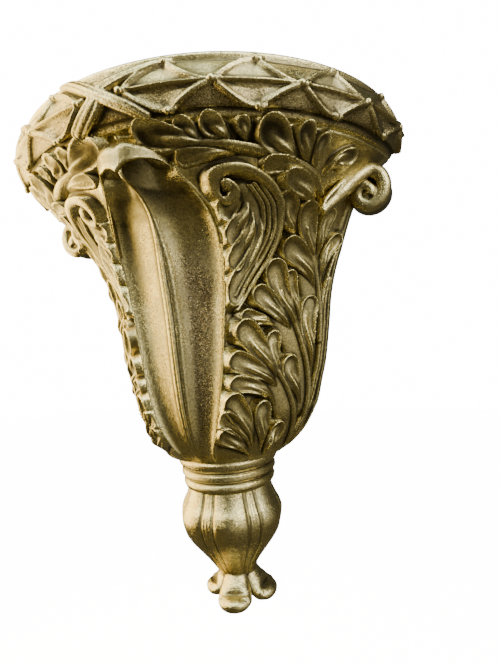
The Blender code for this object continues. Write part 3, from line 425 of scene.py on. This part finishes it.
# The spray's stem, and its radius from tip to base
FRIEZE_STEM = ([(22, -18.8, 0.8), (32.5, -18.8, 1.6), (43.5, -19.4, 1.9), (54.5, -20.8, 2.0),
                (66, -22.8, 2.2), (78, -25.4, 2.6), (90.5, -29, 2.8), (101, -35.0, 2.4),
                (104.5, -41, 1.8)], (0.9, 1.2, 1.4, 1.7, 2.0, 2.0))
# The inner leaf's band with its curl: places on the panel and the height of its foot
INNER_BAND = [(7.5, -90.0, 1.6), (11.0, -85.5, 1.4), (14.8, -79.5, 1.5), (20.0, -72.5, 1.7),
              (24.6, -66.0, 2.0), (27.8, -59.0, 2.3), (29.3, -52.0, 2.5), (29.6, -45.0, 2.6),
              (28.6, -38.5, 2.8), (26.4, -33.8, 3.0), (23.2, -30.4, 3.2), (19.3, -28.2, 3.3),
              (15.3, -27.7, 3.4), (11.3, -28.5, 3.4), (8.2, -30.4, 3.4), (5.6, -33.4, 3.3),
              (4.0, -36.6, 3.2), (4.8, -39.0, 3.2), (7.8, -38.8, 3.3), (10.6, -37.0, 3.5),
              (11.8, -34.9, 3.7), (10.8, -33.2, 4.0), (9.6, -33.8, 4.4)]
INNER_BAND_RADII = (0.9, 1.2, 1.4, 1.6, 2.0, 2.2, 2.2, 2.0, 1.8, 1.7, 1.8)
# The fine ribs of the inner leaf, alongside its band
INNER_RIBS = [
    ([(23.0, -33.0, 2.4), (25.8, -42.0, 2.6), (26.6, -52.0, 2.4), (22.5, -62.5, 2.0),
      (15.0, -74.0, 1.5), (7.5, -86.0, 1.4)], (0.7, 1.2, 1.3, 1.2, 1.0, 0.7)),
    ([(20.8, -33.0, 2.2), (23.4, -42.0, 2.4), (23.8, -52.0, 2.2), (20.0, -61.5, 1.8),
      (12.5, -72.5, 1.4), (6.0, -83.0, 1.2)], (0.6, 1.0, 1.1, 1.0, 0.9, 0.6)),
    ([(19.0, -33.5, 2.2), (21.0, -42.0, 2.3), (21.2, -51.0, 2.0), (17.0, -61.0, 1.6),
      (10.5, -71.5, 1.2)], (0.5, 0.9, 0.9, 0.9, 0.7)),
]
# The right volute: the places of its band from the leaf to the eye, the strip on its back, its
# eye, and the web that joins it to the wall
VOLUTE_BAND = [(76.5, -35.8, -43.5), (81.2, -29.4, -37.0), (87.0, -26.0, -31.5), (92.8, -20.0, -24.8),
               (99.4, -15.6, -20.2), (104.9, -14.2, -22.6), (107.0, -14.0, -29.0),
               (104.6, -14.2, -35.2), (98.4, -14.8, -38.4), (93.4, -15.4, -35.0), (93.8, -16.0, -30.4),
               (97.4, -16.4, -28.4), (100.4, -16.6, -31.2), (99.4, -16.8, -33.8)]
VOLUTE_RADII = (2.6, 3.4, 4.0, 4.3, 4.4, 4.3, 4.2, 3.9, 3.5, 3.2, 3.0)
VOLUTE_STRIP = [(77.5, -36.5, -40.5), (80.0, -34.5, -36.0), (86.5, -29.0, -28.5), (91.8, -21.5, -22.0),
                (96.9, -17.5, -18.4), (101.9, -15.5, -17.0), (106.0, -14.5, -19.6),
                (109.0, -13.5, -24.5)]
STRIP_RADII = (0.8, 1.3, 1.4, 1.4, 1.2, 0.7)
EYE_PLACE, EYE_RADIUS = (97.6, -13.2, -33.2), 5.0
WEB_PLACE, WEB_RADII, WEB_DEPTH = (99.6, -6.7, -29.6), (11.8, 11.0), 12.4


def side_panel():
    """Places of the right side: acanthus leaves, stems and the inner leaf's scroll band."""
    z_stations = np.concatenate([np.linspace(BELL_LOW, -26, 405), np.linspace(-25.4, BELL_HIGH, 20)])
    s, z = grid_of(np.linspace(0, PANEL_SPAN, 205), z_stations)
    sunk = PANEL_SINK(z) * ease(s / 1.6) * ease((PANEL_SPAN - s) / 4.0)
    relief = Relief(s, z, -sunk)
    for points, radii in PANEL_BODIES:
        relief.rib(points, radii, flat=0.3)
    for points, width, lift in PANEL_LOBES:
        relief.lobe(points, width, lift * (1 - 0.5 * (points[0][0] / PANEL_SPAN) ** 2))
    for points, radii in PANEL_STEMS:
        relief.rib(points, radii, groove=0.25)
    for points, radii in INNER_RIBS:
        relief.rib(points, radii)
    relief.rib(INNER_BAND, INNER_BAND_RADII, count=340)
    return panel(s, z, relief.height.reshape(s.shape) * np.clip(s / 0.9, 0, 1))


def frieze():
    """Places of the leaf spray and palmette that stand out under the rim, on the right."""
    a, z = grid_of(np.linspace(0.0, FRIEZE_SPAN, 350), np.linspace(FRIEZE_LOW, FRIEZE_HIGH, 86))
    relief = Relief(a, z, -50.0)
    for points, width, lift in FRIEZE_LOBES:
        relief.lobe(points, width, lift, ground=-1.0)
    relief.rib(*FRIEZE_STEM, groove=0.3)
    turn = a / FRIEZE_ROUND
    ground = []         # the bell's own surface, which the frieze doesn't go under
    for level, angles in zip(z[:, 0], turn):
        under = panel(np.linspace(0, PANEL_SPAN, 120), level, 0.0)
        x, y = under[:, 0], SHELF_Y - under[:, 1]
        ground.append(np.interp(angles, np.arctan2(x, y), np.hypot(x, y), left=55.0))
    radius = np.maximum(np.array(ground) - 1.5, FRIEZE_R(z) + relief.height.reshape(a.shape))
    y = np.minimum(SHELF_Y - radius * np.cos(turn), FRIEZE_FRONT)
    return np.stack([radius * np.sin(turn), y, z], -1)


def under_rim(places):
    """Painted shade: how much the paint is darkened just under the rim, behind the volutes, over the
    arches and down the left side.
    """
    x, y, z = places.T
    web = 0.9 * ease((np.abs(x) - 84) / 4) * ease((y + 12) / 4)
    web *= ease((-14 - z) / 4) * ease((z + 46) / 3)
    arch = 0.5 * ease((z + 46) / 16) * ease((26 - np.abs(x)) / 5)
    flank = 0.3 * ease((z + 95) / 40) * ease((-14 - x) / 6)
    left = 0.45 * ease((-24 - x) / 3) * ease((z + 175) / 10)
    shade = np.maximum(np.maximum(web, arch), np.maximum(flank, left) * ease((-30 - z) / 8))
    return np.maximum(shade, 0.75 * ease((z + 27) / 13)) * ease((-6 - z) / 5)


def rim_grit(places):
    """The grain in the cells of the rim, coarser low down and to the right."""
    return 0.15 + 0.5 * ease((2 - places[:, 2]) / 8) * ease((places[:, 0] + 90) / 60)


def flute_grit(places):
    """The coarse grain of the right flute, strongest along its middle."""
    x, z = places[:, 0], places[:, 2]
    middle = ease((x - 3) / 6) * ease((EDGE_X(z) - 4.5 - x) / 5)
    return 0.06 + 0.94 * middle * ease((-50 - z) / 22) * (1 - 0.55 * ease((-145 - z) / 15))


def front_panel():
    """Places of the two flutes with the ridge between them and a bead at each edge."""
    q, z = grid_of(np.linspace(-1, 1, 141), np.linspace(BELL_LOW, BELL_HIGH, 276))
    side = np.abs(q)
    ridge, edge_x, edge_y = RIDGE(z), EDGE_X(z), EDGE_Y(z)
    dx, dy = edge_x, ridge - edge_y
    size = np.hypot(dx, dy)
    out = side * size
    # The ridge and its fillets shrink with the flute's width and fade under the lip
    scale = np.clip(size / 27.0, 0.3, 1.0) * (1 - 0.75 * ease((z + 75) / 40))
    start = 4.7 * scale
    t = np.clip((out - start) / (size - start), 0.0, 1.0)
    hollow = -1.3 * scale * (1 - t) - FLUTE_DEPTH(z) * (1 - np.abs(2 * t - 1) ** 3.4)
    crest = 0.9 * scale * np.sqrt(np.clip(1 - (out / (1.05 * scale)) ** 2, 0, 1)) - 0.95 * scale
    bow = np.sqrt(np.clip(1 - ((out / scale - 3.1) / 1.55) ** 2, 0, 1))
    fillet = 0.55 * scale * bow - 1.35 * scale
    h = np.where(out < 1.3 * scale, crest, np.where(out < start, fillet, hollow))
    nx, ny = dy / size, -dx / size
    x = dx * side + nx * h
    proud = np.clip(ridge - FLUTE_SWEEP(z), 0, None)
    y = -ridge + dy * side + ny * h + proud * (1 - side) * ease(t / 0.6)
    return np.stack([np.sign(q) * np.maximum(x, 0) + 0 * z, y, z], -1)


ARCH_DROP = 2.4          # the left arch hangs this much lower
LIP_THICKNESS = 13.0
LIP_FACE, LIP_UNDER = 0.5, 0.8          # how far round the lip its face and its underside end
# The lip from the middle to the side: its crease (x, y, z), its lower edge (x, y, z), and
# how far it bulges between them
LIP = [
    (0.0, -97.5, -14.0, 0.0, -98.8, -28.4, 4.4),
    (4.0, -97.5, -14.0, 3.0, -98.6, -25.8, 4.4),
    (8.5, -96.0, -14.8, 7.0, -97.6, -24.3, 4.0),
    (13.0, -92.4, -16.8, 12.0, -94.0, -23.2, 3.2),
    (17.6, -86.0, -19.6, 17.0, -88.2, -23.6, 2.2),
    (22.8, -76.8, -23.6, 21.3, -80.6, -28.6, 1.2),
    (26.6, -70.6, -29.8, 24.0, -74.6, -34.2, 0.8),
    (29.4, -64.6, -39.5, 27.4, -68.2, -42.6, 0.5),
    (30.4, -61.4, -49.5, 29.0, -64.2, -50.5, 0.3),
    (30.4, -59.8, -57.0, 29.3, -61.8, -57.5, 0.2),
]


def lip():
    """Places of the pillow-like lip that overhangs the flutes in two arches."""
    half = drawn(LIP, 110)
    sides = []
    for sign in (-1, 1):
        part = half * np.array([sign, 1, 1, sign, 1, 1, 1])
        if sign < 0:
            part[:, 5] -= ARCH_DROP * np.exp(-((half[:, 3] - 10) / 6) ** 2)
        sides.append(part[::-1] if sign < 0 else part[1:])
    line = np.concatenate(sides)
    top, edge, bulge = line[:, :3], line[:, 3:6], line[:, 6]
    out = np.stack([0.012 * line[:, 0], -1 + 0 * bulge, -0.12 + 0 * bulge], -1)
    deep = top - out * LIP_THICKNESS
    # Round the lip: down its face, back under it, and up inside it
    v = np.linspace(0, 1, 61)[:, None]
    t = np.clip(v / LIP_FACE, 0.0, 1.0)
    full = np.sin(math.pi / 2 * np.clip(t / 0.45, 0, 1)) ** 0.75
    pillow = bulge * (full - 0.6 * t) * np.sqrt(1 - np.clip((t - 0.92) / 0.08, 0, 1) ** 2)
    strip = 0.7 * (1 - np.abs(2 * t - 1) ** 6) - 0.75 * np.sin(math.pi * t) ** 2
    broad = ease((bulge - 0.8) / 2.0)
    swell = broad * pillow + (1 - broad) * strip
    outer = top + (edge - top) * t[..., None] + out * swell[..., None]
    t = np.clip((v - LIP_FACE) / 0.3, 0.0, 1.0)
    rise = np.sin(math.pi * t) * np.minimum(1.0, 0.3 + bulge / 4)
    hood = np.stack([0 * rise, 1.5 * rise, 3.0 * rise], -1)
    inner = edge + (deep - edge) * t[..., None] + hood
    back = deep + (top - deep) * np.clip((v - LIP_UNDER) / 0.2, 0.0, 1.0)[..., None]
    behind = np.where((v < LIP_UNDER)[..., None], inner, back)
    return np.where((v < LIP_FACE)[..., None], outer, behind)


# The ribbons that cross at the front: azimuth and height of their places, half width, level
RIBBONS = [
    ([(14.0, 11.0), (7.5, 7.8), (2.0, 5.0), (0.0, 2.0), (-1.0, -2.0), (-3.5, -6.0), (-7.5, -10.2)],
     (1.4, 2.0, 2.6, 3.4, 3.8, 3.8, 3.4), 0.0),
    ([(-12.5, 14.2), (-8.0, 10.5), (-1.0, 2.0), (2.5, -2.5), (6.0, -6.5), (9.5, -10.2)],
     (1.8, 2.4, 2.7, 2.6, 2.4, 1.8), 0.7),
]


def rim():
    """Places of the shelf's rim: a cushion carved with a net of ribs, knots and two ribbons."""
    table = np.array(RIM)
    run = np.concatenate([[0], np.cumsum(np.linalg.norm(np.diff(table, axis=0), axis=1))])
    read_r, read_z = curve(list(zip(run, table[:, 0]))), curve(list(zip(run, table[:, 1])))
    steps = np.linspace(0, run[-1], 84)
    turn_max = math.degrees(math.acos(SHELF_Y / SHELF_R))
    t, along = grid_of(np.linspace(-1, 1, 900), steps)
    a = np.radians(t * turn_max) * SHELF_R
    away = np.full(a.size, CORD_REACH)
    relief = Relief(a, along, 0.0)

    def spot(azimuth, z):
        """A place on the unrolled rim."""
        return math.radians(azimuth) * SHELF_R, float(np.interp(z, table[1:, 1], run[1:]))

    def thread(start, end, low, high, bow, width=1.0):
        """One rib of the net, from the azimuth start at height low to end at height high."""
        p = np.linspace(0, 1, 9)
        places = [spot(start + (end - start) * x, low + (high - low) * bow(x)) for x in p]
        path = drawn(places, 60)
        where = relief.near(path, CORD_REACH)
        u, across = nearest(path, relief.a[where], relief.b[where])
        length = np.linalg.norm(np.diff(path, axis=0), axis=1).sum()
        gap = np.hypot(across, np.clip(np.abs(u - 0.5) - 0.5, 0, None) * length)
        away[where] = np.minimum(away[where], gap / width)

    top, middle, bottom = (KNOT_HEIGHTS[name] for name in ("top", "middle", "bottom"))
    knots = []
    for sign in (1, -1):
        for i in range(5):
            here = KNOT_FIRST + KNOT_STEP * i
            side, last = here + KNOT_STEP / 2, here + KNOT_STEP
            a0, a1, a2 = sign * here, sign * side, sign * last
            thread(a0, a1, middle, top, lambda x: 1 - (1 - x) ** 1.9)
            thread(a1, a2, top, middle, lambda x: 1 - (1 - x) ** 2.0)
            thread(a0, a1, middle, bottom, lambda x: 1 - (1 - x) ** 2.0)
            thread(a2, a1, middle, bottom, lambda x: x ** 1.25)
            thread(a0, a2, middle, middle, lambda x: x, 0.55)
            knots += [(a0, middle), (a1, top), (a1, bottom)]
    edge = ease((along - 3.5) / 2.0) * ease((run[-1] - 3.0 - along) / 2.0)
    cord = 0.85 * np.exp(-(away / 1.45) ** 4) - 0.4 * np.exp(-((away - 0.55) / 0.22) ** 2)
    relief.height = (cord - 0.6 - 2.0 * (1 - np.exp(-(away / 3.0) ** 1.2))) * edge.ravel()
    for azimuth, z in knots:
        x, y = spot(azimuth, z)
        relief.knob(x - 0.9, y + 0.2, -0.4, 1.7, flat=0.95)
        relief.knob(x + 1.1, y - 0.1, -0.5, 1.5, flat=0.9)
        relief.knob(x + 2.6, y + 0.5, -0.6, 1.1)
    for places, radii, level in RIBBONS:
        points = [(*spot(azimuth, z), level) for azimuth, z in places]
        relief.rib(points, radii, flat=0.35, groove=0.4)
    h = relief.height.reshape(a.shape)
    dr, dz = np.gradient(read_r(steps)), np.gradient(read_z(steps))
    size = np.hypot(dr, dz)
    out_r, out_z = (dz / size)[:, None], (-dr / size)[:, None]
    radius = read_r(along) + out_r * h
    height = np.minimum(read_z(along) + out_z * h, SHELF_TOP)
    azimuth = t * np.arccos(SHELF_Y / radius)
    return np.stack([radius * np.sin(azimuth), SHELF_Y - radius * np.cos(azimuth), height], -1)


def lean(z):
    """How far the casting leans to the right at a height below the bell."""
    return 2.0 + 1.2 * ease((-246.0 - z) / 6.0)


def turned(radii, z, columns, factor=None):
    """Places of a round form in front of the wall, with a factor that may depend on azimuth."""
    turn, level = grid_of(np.linspace(-math.pi, math.pi, columns), z)
    radius = radii(level)
    if factor is not None:
        radius = radius * factor(np.degrees(turn), level)
    return np.stack([lean(level) + radius * np.sin(turn), NECK_Y - radius * np.cos(turn), level], -1)


def petal_factor(azimuth, z):
    """Broad rounded petals; each two meet in a raised strip with fine lines."""
    t = (((azimuth - FINIAL_TURN) / PETAL_STEP + 0.5) % 1.0 - 0.5) * 2
    side = np.abs(t)
    petal = 1.0 - 0.055 * (1 - np.clip((side - 0.2) / 0.8, 0, 1)) ** 2
    furrow = 0.022 * np.exp(-((side - 0.27) / 0.07) ** 2)
    strip = 0.012 * ease((0.24 - side) / 0.05)
    lines = 0.013 * (np.exp(-((t - 0.07) / 0.03) ** 2) + np.exp(-((t + 0.07) / 0.03) ** 2))
    return petal - furrow + strip - lines


# A foot from leg to toe: distance outwards, height, half width, half thickness
FOOT_SPINE = [(-4.5, 30.0, 4.0, 3.2), (-4.0, 21.0, 5.2, 4.2), (-1.6, 14.0, 7.4, 5.2),
              (2.0, 9.6, 9.0, 5.8), (5.4, 7.6, 9.6, 5.8), (8.2, 7.4, 8.8, 5.2),
              (10.0, 8.8, 6.0, 3.8), (10.6, 10.0, 2.4, 1.6)]


def foot(azimuth, reach, low, size):
    """Places of a rounded scroll foot that flares out from a leg of the finial."""
    stations = np.linspace(0, 1, len(FOOT_SPINE))
    out, height, half, thick = (curve(list(zip(stations, column))) for column in zip(*FOOT_SPINE))
    turn = math.radians(azimuth)
    outward = np.array([math.sin(turn), -math.cos(turn), 0.0])
    sideways = np.array([math.cos(turn), math.sin(turn), 0.0])
    u, v = grid_of(np.linspace(0, 1, 60), np.linspace(0, 1, 49))
    step = 0.004
    run, drop = out(u + step) - out(u - step), height(u + step) - height(u - step)
    length = np.hypot(run, drop)
    swing = 2 * math.pi * v
    rise = np.cos(swing)
    dish = ease((u - 0.35) / 0.3) * 0.5
    off = thick(u) * (rise - dish * np.clip(rise, 0, 1) ** 3)
    r = reach + size * (out(u) - off * drop / length)
    across = size * half(u) * np.sin(swing)
    places = r[..., None] * outward + across[..., None] * sideways
    places[..., 2] = low + size * (height(u) + off * run / length)
    places[..., 0] += lean(places[..., 2])
    places[..., 1] += NECK_Y
    return places


def fused(parts, name):
    """Several closed shapes made one skin, and cut flat at the wall."""
    whole = bmesh.new()
    for part in parts:
        loose = bpy.data.meshes.new("part")
        part.to_mesh(loose)
        part.free()
        whole.from_mesh(loose)
        bpy.data.meshes.remove(loose)
    mesh = bpy.data.meshes.new(name)
    whole.to_mesh(mesh)
    whole.free()
    holder = bpy.data.objects.new(name, mesh)
    bpy.context.scene.collection.objects.link(holder)
    remesh = holder.modifiers.new("fuse", "REMESH")
    remesh.mode = "VOXEL"
    remesh.voxel_size = VOXEL
    graph = bpy.context.evaluated_depsgraph_get()
    result = bpy.data.meshes.new_from_object(holder.evaluated_get(graph))
    bpy.data.objects.remove(holder)
    bm = bmesh.new()
    bm.from_mesh(result)
    bpy.data.meshes.remove(result)
    bmesh.ops.smooth_vert(bm, verts=bm.verts, factor=0.5,
                          use_axis_x=True, use_axis_y=True, use_axis_z=True)
    for face in bm.faces:
        face.smooth = True
    return flat_behind(bm)


def flat_behind(bm):
    """Cut a shape flat at the wall."""
    everything = bm.verts[:] + bm.edges[:] + bm.faces[:]
    bmesh.ops.bisect_plane(bm, geom=everything, dist=1e-4, plane_co=(0, 0, 0), plane_no=(0, 1, 0),
                           clear_outer=True)
    open_edges = [edge for edge in bm.edges if edge.is_boundary]
    filled = bmesh.ops.edgenet_fill(bm, edges=open_edges)["faces"]
    for face in filled:
        face.smooth = False
    bmesh.ops.triangulate(bm, faces=filled)
    bmesh.ops.recalc_face_normals(bm, faces=bm.faces)
    return bm


def mirrored(bm):
    """A copy of a shape on the other side of the centre plane."""
    twin = bm.copy()
    bmesh.ops.transform(twin, matrix=Matrix.Diagonal((-1, 1, 1, 1)), verts=twin.verts)
    bmesh.ops.recalc_face_normals(twin, faces=twin.faces)
    return twin


def volute():
    """The right volute: a band with a strip on its back, an eye, and a web behind."""
    band = tube(swept(VOLUTE_BAND, VOLUTE_RADII, 260, 41))
    strip = tube(swept(VOLUTE_STRIP, STRIP_RADII, 160, 25))
    eye = bmesh.new()
    bmesh.ops.create_uvsphere(eye, u_segments=48, v_segments=24, radius=EYE_RADIUS)
    bmesh.ops.translate(eye, vec=EYE_PLACE, verts=eye.verts)
    web = bmesh.new()
    bmesh.ops.create_cone(web, segments=64, radius1=WEB_RADII[0], radius2=WEB_RADII[1],
                          depth=WEB_DEPTH, cap_ends=True)
    bmesh.ops.rotate(web, matrix=Matrix.Rotation(math.pi / 2, 3, "X"), verts=web.verts)
    bmesh.ops.translate(web, vec=WEB_PLACE, verts=web.verts)
    return fused([band, strip, eye, web], "volute")


# Colours of the paint: two golds that take turns, a brown for its grainy parts, painted glints,
# a painted highlight for what stands out, dull specks, and the dark of the hollows: painted shade with
# an antique wash
GOLD, PALE_GOLD = (0.7, 0.59, 0.245, 1), (0.52, 0.465, 0.24, 1)
GRIT_BROWN, PAINTED_GLINT = (0.15, 0.095, 0.045, 1), (0.85, 0.75, 0.5, 1)
PAINTED_HIGHLIGHT, SPECK = (0.86, 0.76, 0.35, 1), (0.28, 0.23, 0.1, 1)
GRIME_AND_SHADE = (0.07, 0.06, 0.032, 1)


def gold_paint_painted_light():
    """Satin gold paint, grainy, with a painted highlight on what stands up and painted shade with an
    antique wash in the hollows.
    """
    material = bpy.data.materials.new("gold_paint_painted_light")
    material.use_nodes = True
    tree = material.node_tree
    links = tree.links
    shader = tree.nodes["Principled BSDF"]
    place = tree.nodes.new("ShaderNodeTexCoord")

    def noise(scale, detail, roughness=0.55):
        node = tree.nodes.new("ShaderNodeTexNoise")
        node.inputs["Scale"].default_value = scale
        node.inputs["Detail"].default_value = detail
        node.inputs["Roughness"].default_value = roughness
        links.new(place.outputs["Object"], node.inputs["Vector"])
        return node.outputs["Fac"]

    def math_node(operation, first, second=None, clamp=False):
        node = tree.nodes.new("ShaderNodeMath")
        node.operation = operation
        node.use_clamp = clamp
        for socket, value in zip(node.inputs, (first, second)):
            if value is None:
                continue
            if isinstance(value, (int, float)):
                socket.default_value = value
            else:
                links.new(value, socket)
        return node.outputs[0]

    def spread(value, low, high, to_low=0.0, to_high=1.0):
        node = tree.nodes.new("ShaderNodeMapRange")
        node.inputs["From Min"].default_value = low
        node.inputs["From Max"].default_value = high
        node.inputs["To Min"].default_value = to_low
        node.inputs["To Max"].default_value = to_high
        links.new(value, node.inputs["Value"])
        return node.outputs["Result"]

    def mix(amount, first, second):
        node = tree.nodes.new("ShaderNodeMix")
        node.data_type = "RGBA"
        links.new(amount, node.inputs["Factor"])
        for socket, value in ((node.inputs["A"], first), (node.inputs["B"], second)):
            if isinstance(value, tuple):
                socket.default_value = value
            else:
                links.new(value, socket)
        return node.outputs["Result"]

    def mark(name):
        node = tree.nodes.new("ShaderNodeAttribute")
        node.attribute_name = name
        return node.outputs["Fac"]

    deep, nick, grit, painted_shade = mark("hollow"), mark("nick"), mark("grit"), mark("painted_shade")
    patches = noise(60.0, 4.0)
    speckle = noise(1100.0, 2.0, 0.6)
    grain = noise(1700.0, 2.0, 0.6)
    dull_speck_noise = noise(750.0, 3.0, 0.7)
    # Painted shade in broad and sharp hollows, which also stands for the antique wash there
    crease_shade = math_node("MULTIPLY", spread(nick, 0.02, 0.2), 0.6)
    dark = math_node("ADD", spread(deep, 0.0, 0.9), crease_shade, clamp=True)
    # Painted shade under the rim, behind the volutes and down the left side, less on what stands out
    sheltered = math_node("MULTIPLY", painted_shade, spread(deep, -0.9, 0.1))
    dark = math_node("ADD", dark, sheltered, clamp=True)
    pits = math_node("MULTIPLY", spread(speckle, 0.5, 0.68), math_node("ADD", grit, 0.12))
    dark = math_node("ADD", dark, math_node("MULTIPLY", pits, 0.9), clamp=True)
    gold = mix(spread(patches, 0.35, 0.65), GOLD, PALE_GOLD)
    # Browner in patches where the grit mark is high
    grit_browned = math_node("MULTIPLY", grit, spread(patches, 0.75, 0.35, 0.55, 1.0), clamp=True)
    gold = mix(grit_browned, gold, GRIT_BROWN)
    # Painted glints: pale specks where the grain noise peaks on the grainy parts
    gold = mix(math_node("MULTIPLY", spread(grain, 0.56, 0.64), grit), gold, PAINTED_GLINT)
    # Painted highlight: what stands out of the smoothed surface is painted paler
    gold = mix(spread(deep, -0.2, -1.5), gold, PAINTED_HIGHLIGHT)
    gold = mix(spread(dull_speck_noise, 0.45, 0.58, 0.0, 0.6), gold, SPECK)
    # Toward the dark colour: painted shade in hollows, creases and shelter, the antique wash, and the
    # grain's pits
    colour = mix(dark, gold, GRIME_AND_SHADE)
    links.new(colour, shader.inputs["Base Color"])
    shader.inputs["Metallic"].default_value = 1.0
    even = spread(patches, 0.3, 0.7, 0.19, 0.29)
    rough = math_node("ADD", even, math_node("MULTIPLY", dark, 0.15))
    links.new(rough, shader.inputs["Roughness"])
    bump = tree.nodes.new("ShaderNodeBump")
    bump.inputs["Distance"].default_value = 0.0003
    links.new(spread(grit, 0.0, 1.0, 0.65, 1.0), bump.inputs["Strength"])
    links.new(grain, bump.inputs["Height"])
    links.new(bump.outputs["Normal"], shader.inputs["Normal"])
    return material


FLOOR_SHOWN = (0.95, 0.95, 0.95, 1)      # the floor as the camera sees it
FLOOR_BOUNCE = (0.008, 0.007, 0.004, 1)  # and as it throws light back


def floor_white():
    """A white floor that throws little light back on the gold."""
    material = bpy.data.materials.new("floor_white")
    material.use_nodes = True
    tree = material.node_tree
    shader = tree.nodes["Principled BSDF"]
    seen = tree.nodes.new("ShaderNodeLightPath")
    shade = tree.nodes.new("ShaderNodeMix")
    shade.data_type = "RGBA"
    shade.inputs["A"].default_value = FLOOR_BOUNCE
    shade.inputs["B"].default_value = FLOOR_SHOWN
    tree.links.new(seen.outputs["Is Camera Ray"], shade.inputs["Factor"])
    tree.links.new(shade.outputs["Result"], shader.inputs["Base Color"])
    shader.inputs["Roughness"].default_value = 1.0
    shader.inputs["Specular IOR Level"].default_value = 0.0
    return material


CAMERA_PLACE = (112.052, -254.028, -99.073)
CAMERA_ANGLES = (20.009, -0.975, -4.294)     # yaw, pitch and roll in degrees
FOCAL_PIXELS, PICTURE_HEIGHT = 421.48, 667   # both in pixels
SENSOR_HEIGHT = 24.0


def make_camera():
    """The camera below the shelf and to its right, turned a little."""
    place = Vector(CAMERA_PLACE) * MM
    yaw, pitch, roll = (math.radians(angle) for angle in CAMERA_ANGLES)
    ahead = Vector((-math.sin(yaw) * math.cos(pitch), math.cos(yaw) * math.cos(pitch), math.sin(pitch)))
    right = Vector((math.cos(yaw), math.sin(yaw), 0))
    up = right.cross(ahead)
    right, up = (math.cos(roll) * right + math.sin(roll) * up,
                 math.cos(roll) * up - math.sin(roll) * right)
    lens = bpy.data.cameras.new("camera")
    lens.sensor_fit = "VERTICAL"
    lens.sensor_height = SENSOR_HEIGHT
    lens.lens = FOCAL_PIXELS / PICTURE_HEIGHT * SENSOR_HEIGHT
    lens.clip_start = 0.01
    camera = bpy.data.objects.new("camera", lens)
    rows = Matrix((right, up, -ahead)).transposed().to_4x4()
    camera.matrix_world = Matrix.Translation(place) @ rows
    bpy.context.scene.collection.objects.link(camera)
    bpy.context.scene.camera = camera


# Lights: name, place, what it aims at, width and height, watts, colour
LIGHTS = [
    ("window", (-1.0, -0.1, 0.15), (0, -0.03, -0.08), (1.2, 1.8), 58.0, (1.0, 0.73, 0.27)),
    ("lamp", (-0.5, -0.8, 0.35), (0, -0.03, -0.08), (0.35, 0.6), 9.0, (1.0, 0.93, 0.68)),
    ("overhead", (0.15, -0.6, 0.85), (0, -0.05, 0), (0.9, 0.6), 14.0, (0.87, 0.97, 0.9)),
    ("side_wall", (1.1, -0.6, 0.0), (0, -0.03, -0.1), (2.0, 2.0), 8.0, (1.0, 0.95, 0.8)),
    ("side_lamp", (0.9, -0.5, 0.4), (0, -0.03, -0.1), (0.4, 0.5), 9.0, (1.0, 0.97, 0.88)),
]
SKY = (16.0, 16.0, 16.0, 1)              # what the camera and matt surfaces see
ROOM = (0.093, 0.09, 0.068, 1)           # what the metal mirrors
FLOOR_LEVEL = -1.0


def soft_light(name, place, aim, size, power, colour):
    """One rectangular light."""
    lamp = bpy.data.lights.new(name, "AREA")
    lamp.shape = "RECTANGLE"
    lamp.size, lamp.size_y = size
    lamp.energy = power
    lamp.color = colour
    holder = bpy.data.objects.new(name, lamp)
    holder.location = place
    holder.rotation_euler = (Vector(aim) - Vector(place)).to_track_quat("-Z", "Y").to_euler()
    bpy.context.scene.collection.objects.link(holder)


def make_room():
    """A pale floor under the bracket, soft lights and a pale sky."""
    floor = bmesh.new()
    bmesh.ops.create_grid(floor, x_segments=1, y_segments=1, size=4.0)
    mesh = bpy.data.meshes.new("floor")
    floor.to_mesh(mesh)
    floor.free()
    mesh.transform(Matrix.Translation((0, 0, FLOOR_LEVEL)))
    mesh.materials.append(floor_white())
    ground = bpy.data.objects.new("floor", mesh)
    bpy.context.scene.collection.objects.link(ground)
    for light in LIGHTS:
        soft_light(*light)
    world = bpy.data.worlds.new("room")
    bpy.context.scene.world = world
    world.use_nodes = True
    tree = world.node_tree
    back = tree.nodes["Background"]
    seen = tree.nodes.new("ShaderNodeLightPath")
    shade = tree.nodes.new("ShaderNodeMix")
    shade.data_type = "RGBA"
    shade.inputs["A"].default_value = SKY
    shade.inputs["B"].default_value = ROOM
    tree.links.new(seen.outputs["Is Glossy Ray"], shade.inputs["Factor"])
    tree.links.new(shade.outputs["Result"], back.inputs["Color"])


make_camera()
make_room()
gold = gold_paint_painted_light()
right = cast(side_panel())
left = mirrored(right)
dress("side_panel_right", right, gold)
dress("side_panel_left", left, gold)
right = cast(frieze(), back=FRIEZE_BACK)
left = mirrored(right)
dress("frieze_right", right, gold)
dress("frieze_left", left, gold)
dress("front_panel", cast(front_panel()), gold, grit=flute_grit)
dress("lip", tube(lip()), gold)
dress("shelf_rim", cast(rim()), gold, grit=rim_grit)
dress("neck_rings", flat_behind(tube(turned(NECK, np.linspace(*NECK_LEVELS), 320))), gold)
petals = tube(turned(PETALS, np.linspace(*PETAL_LEVELS), 600, petal_factor))
dress("finial", fused([petals] + [tube(foot(*place)) for place in FEET], "finial"), gold)
right = volute()
dress("volute_left", mirrored(right), gold)
dress("volute_right", right, gold)
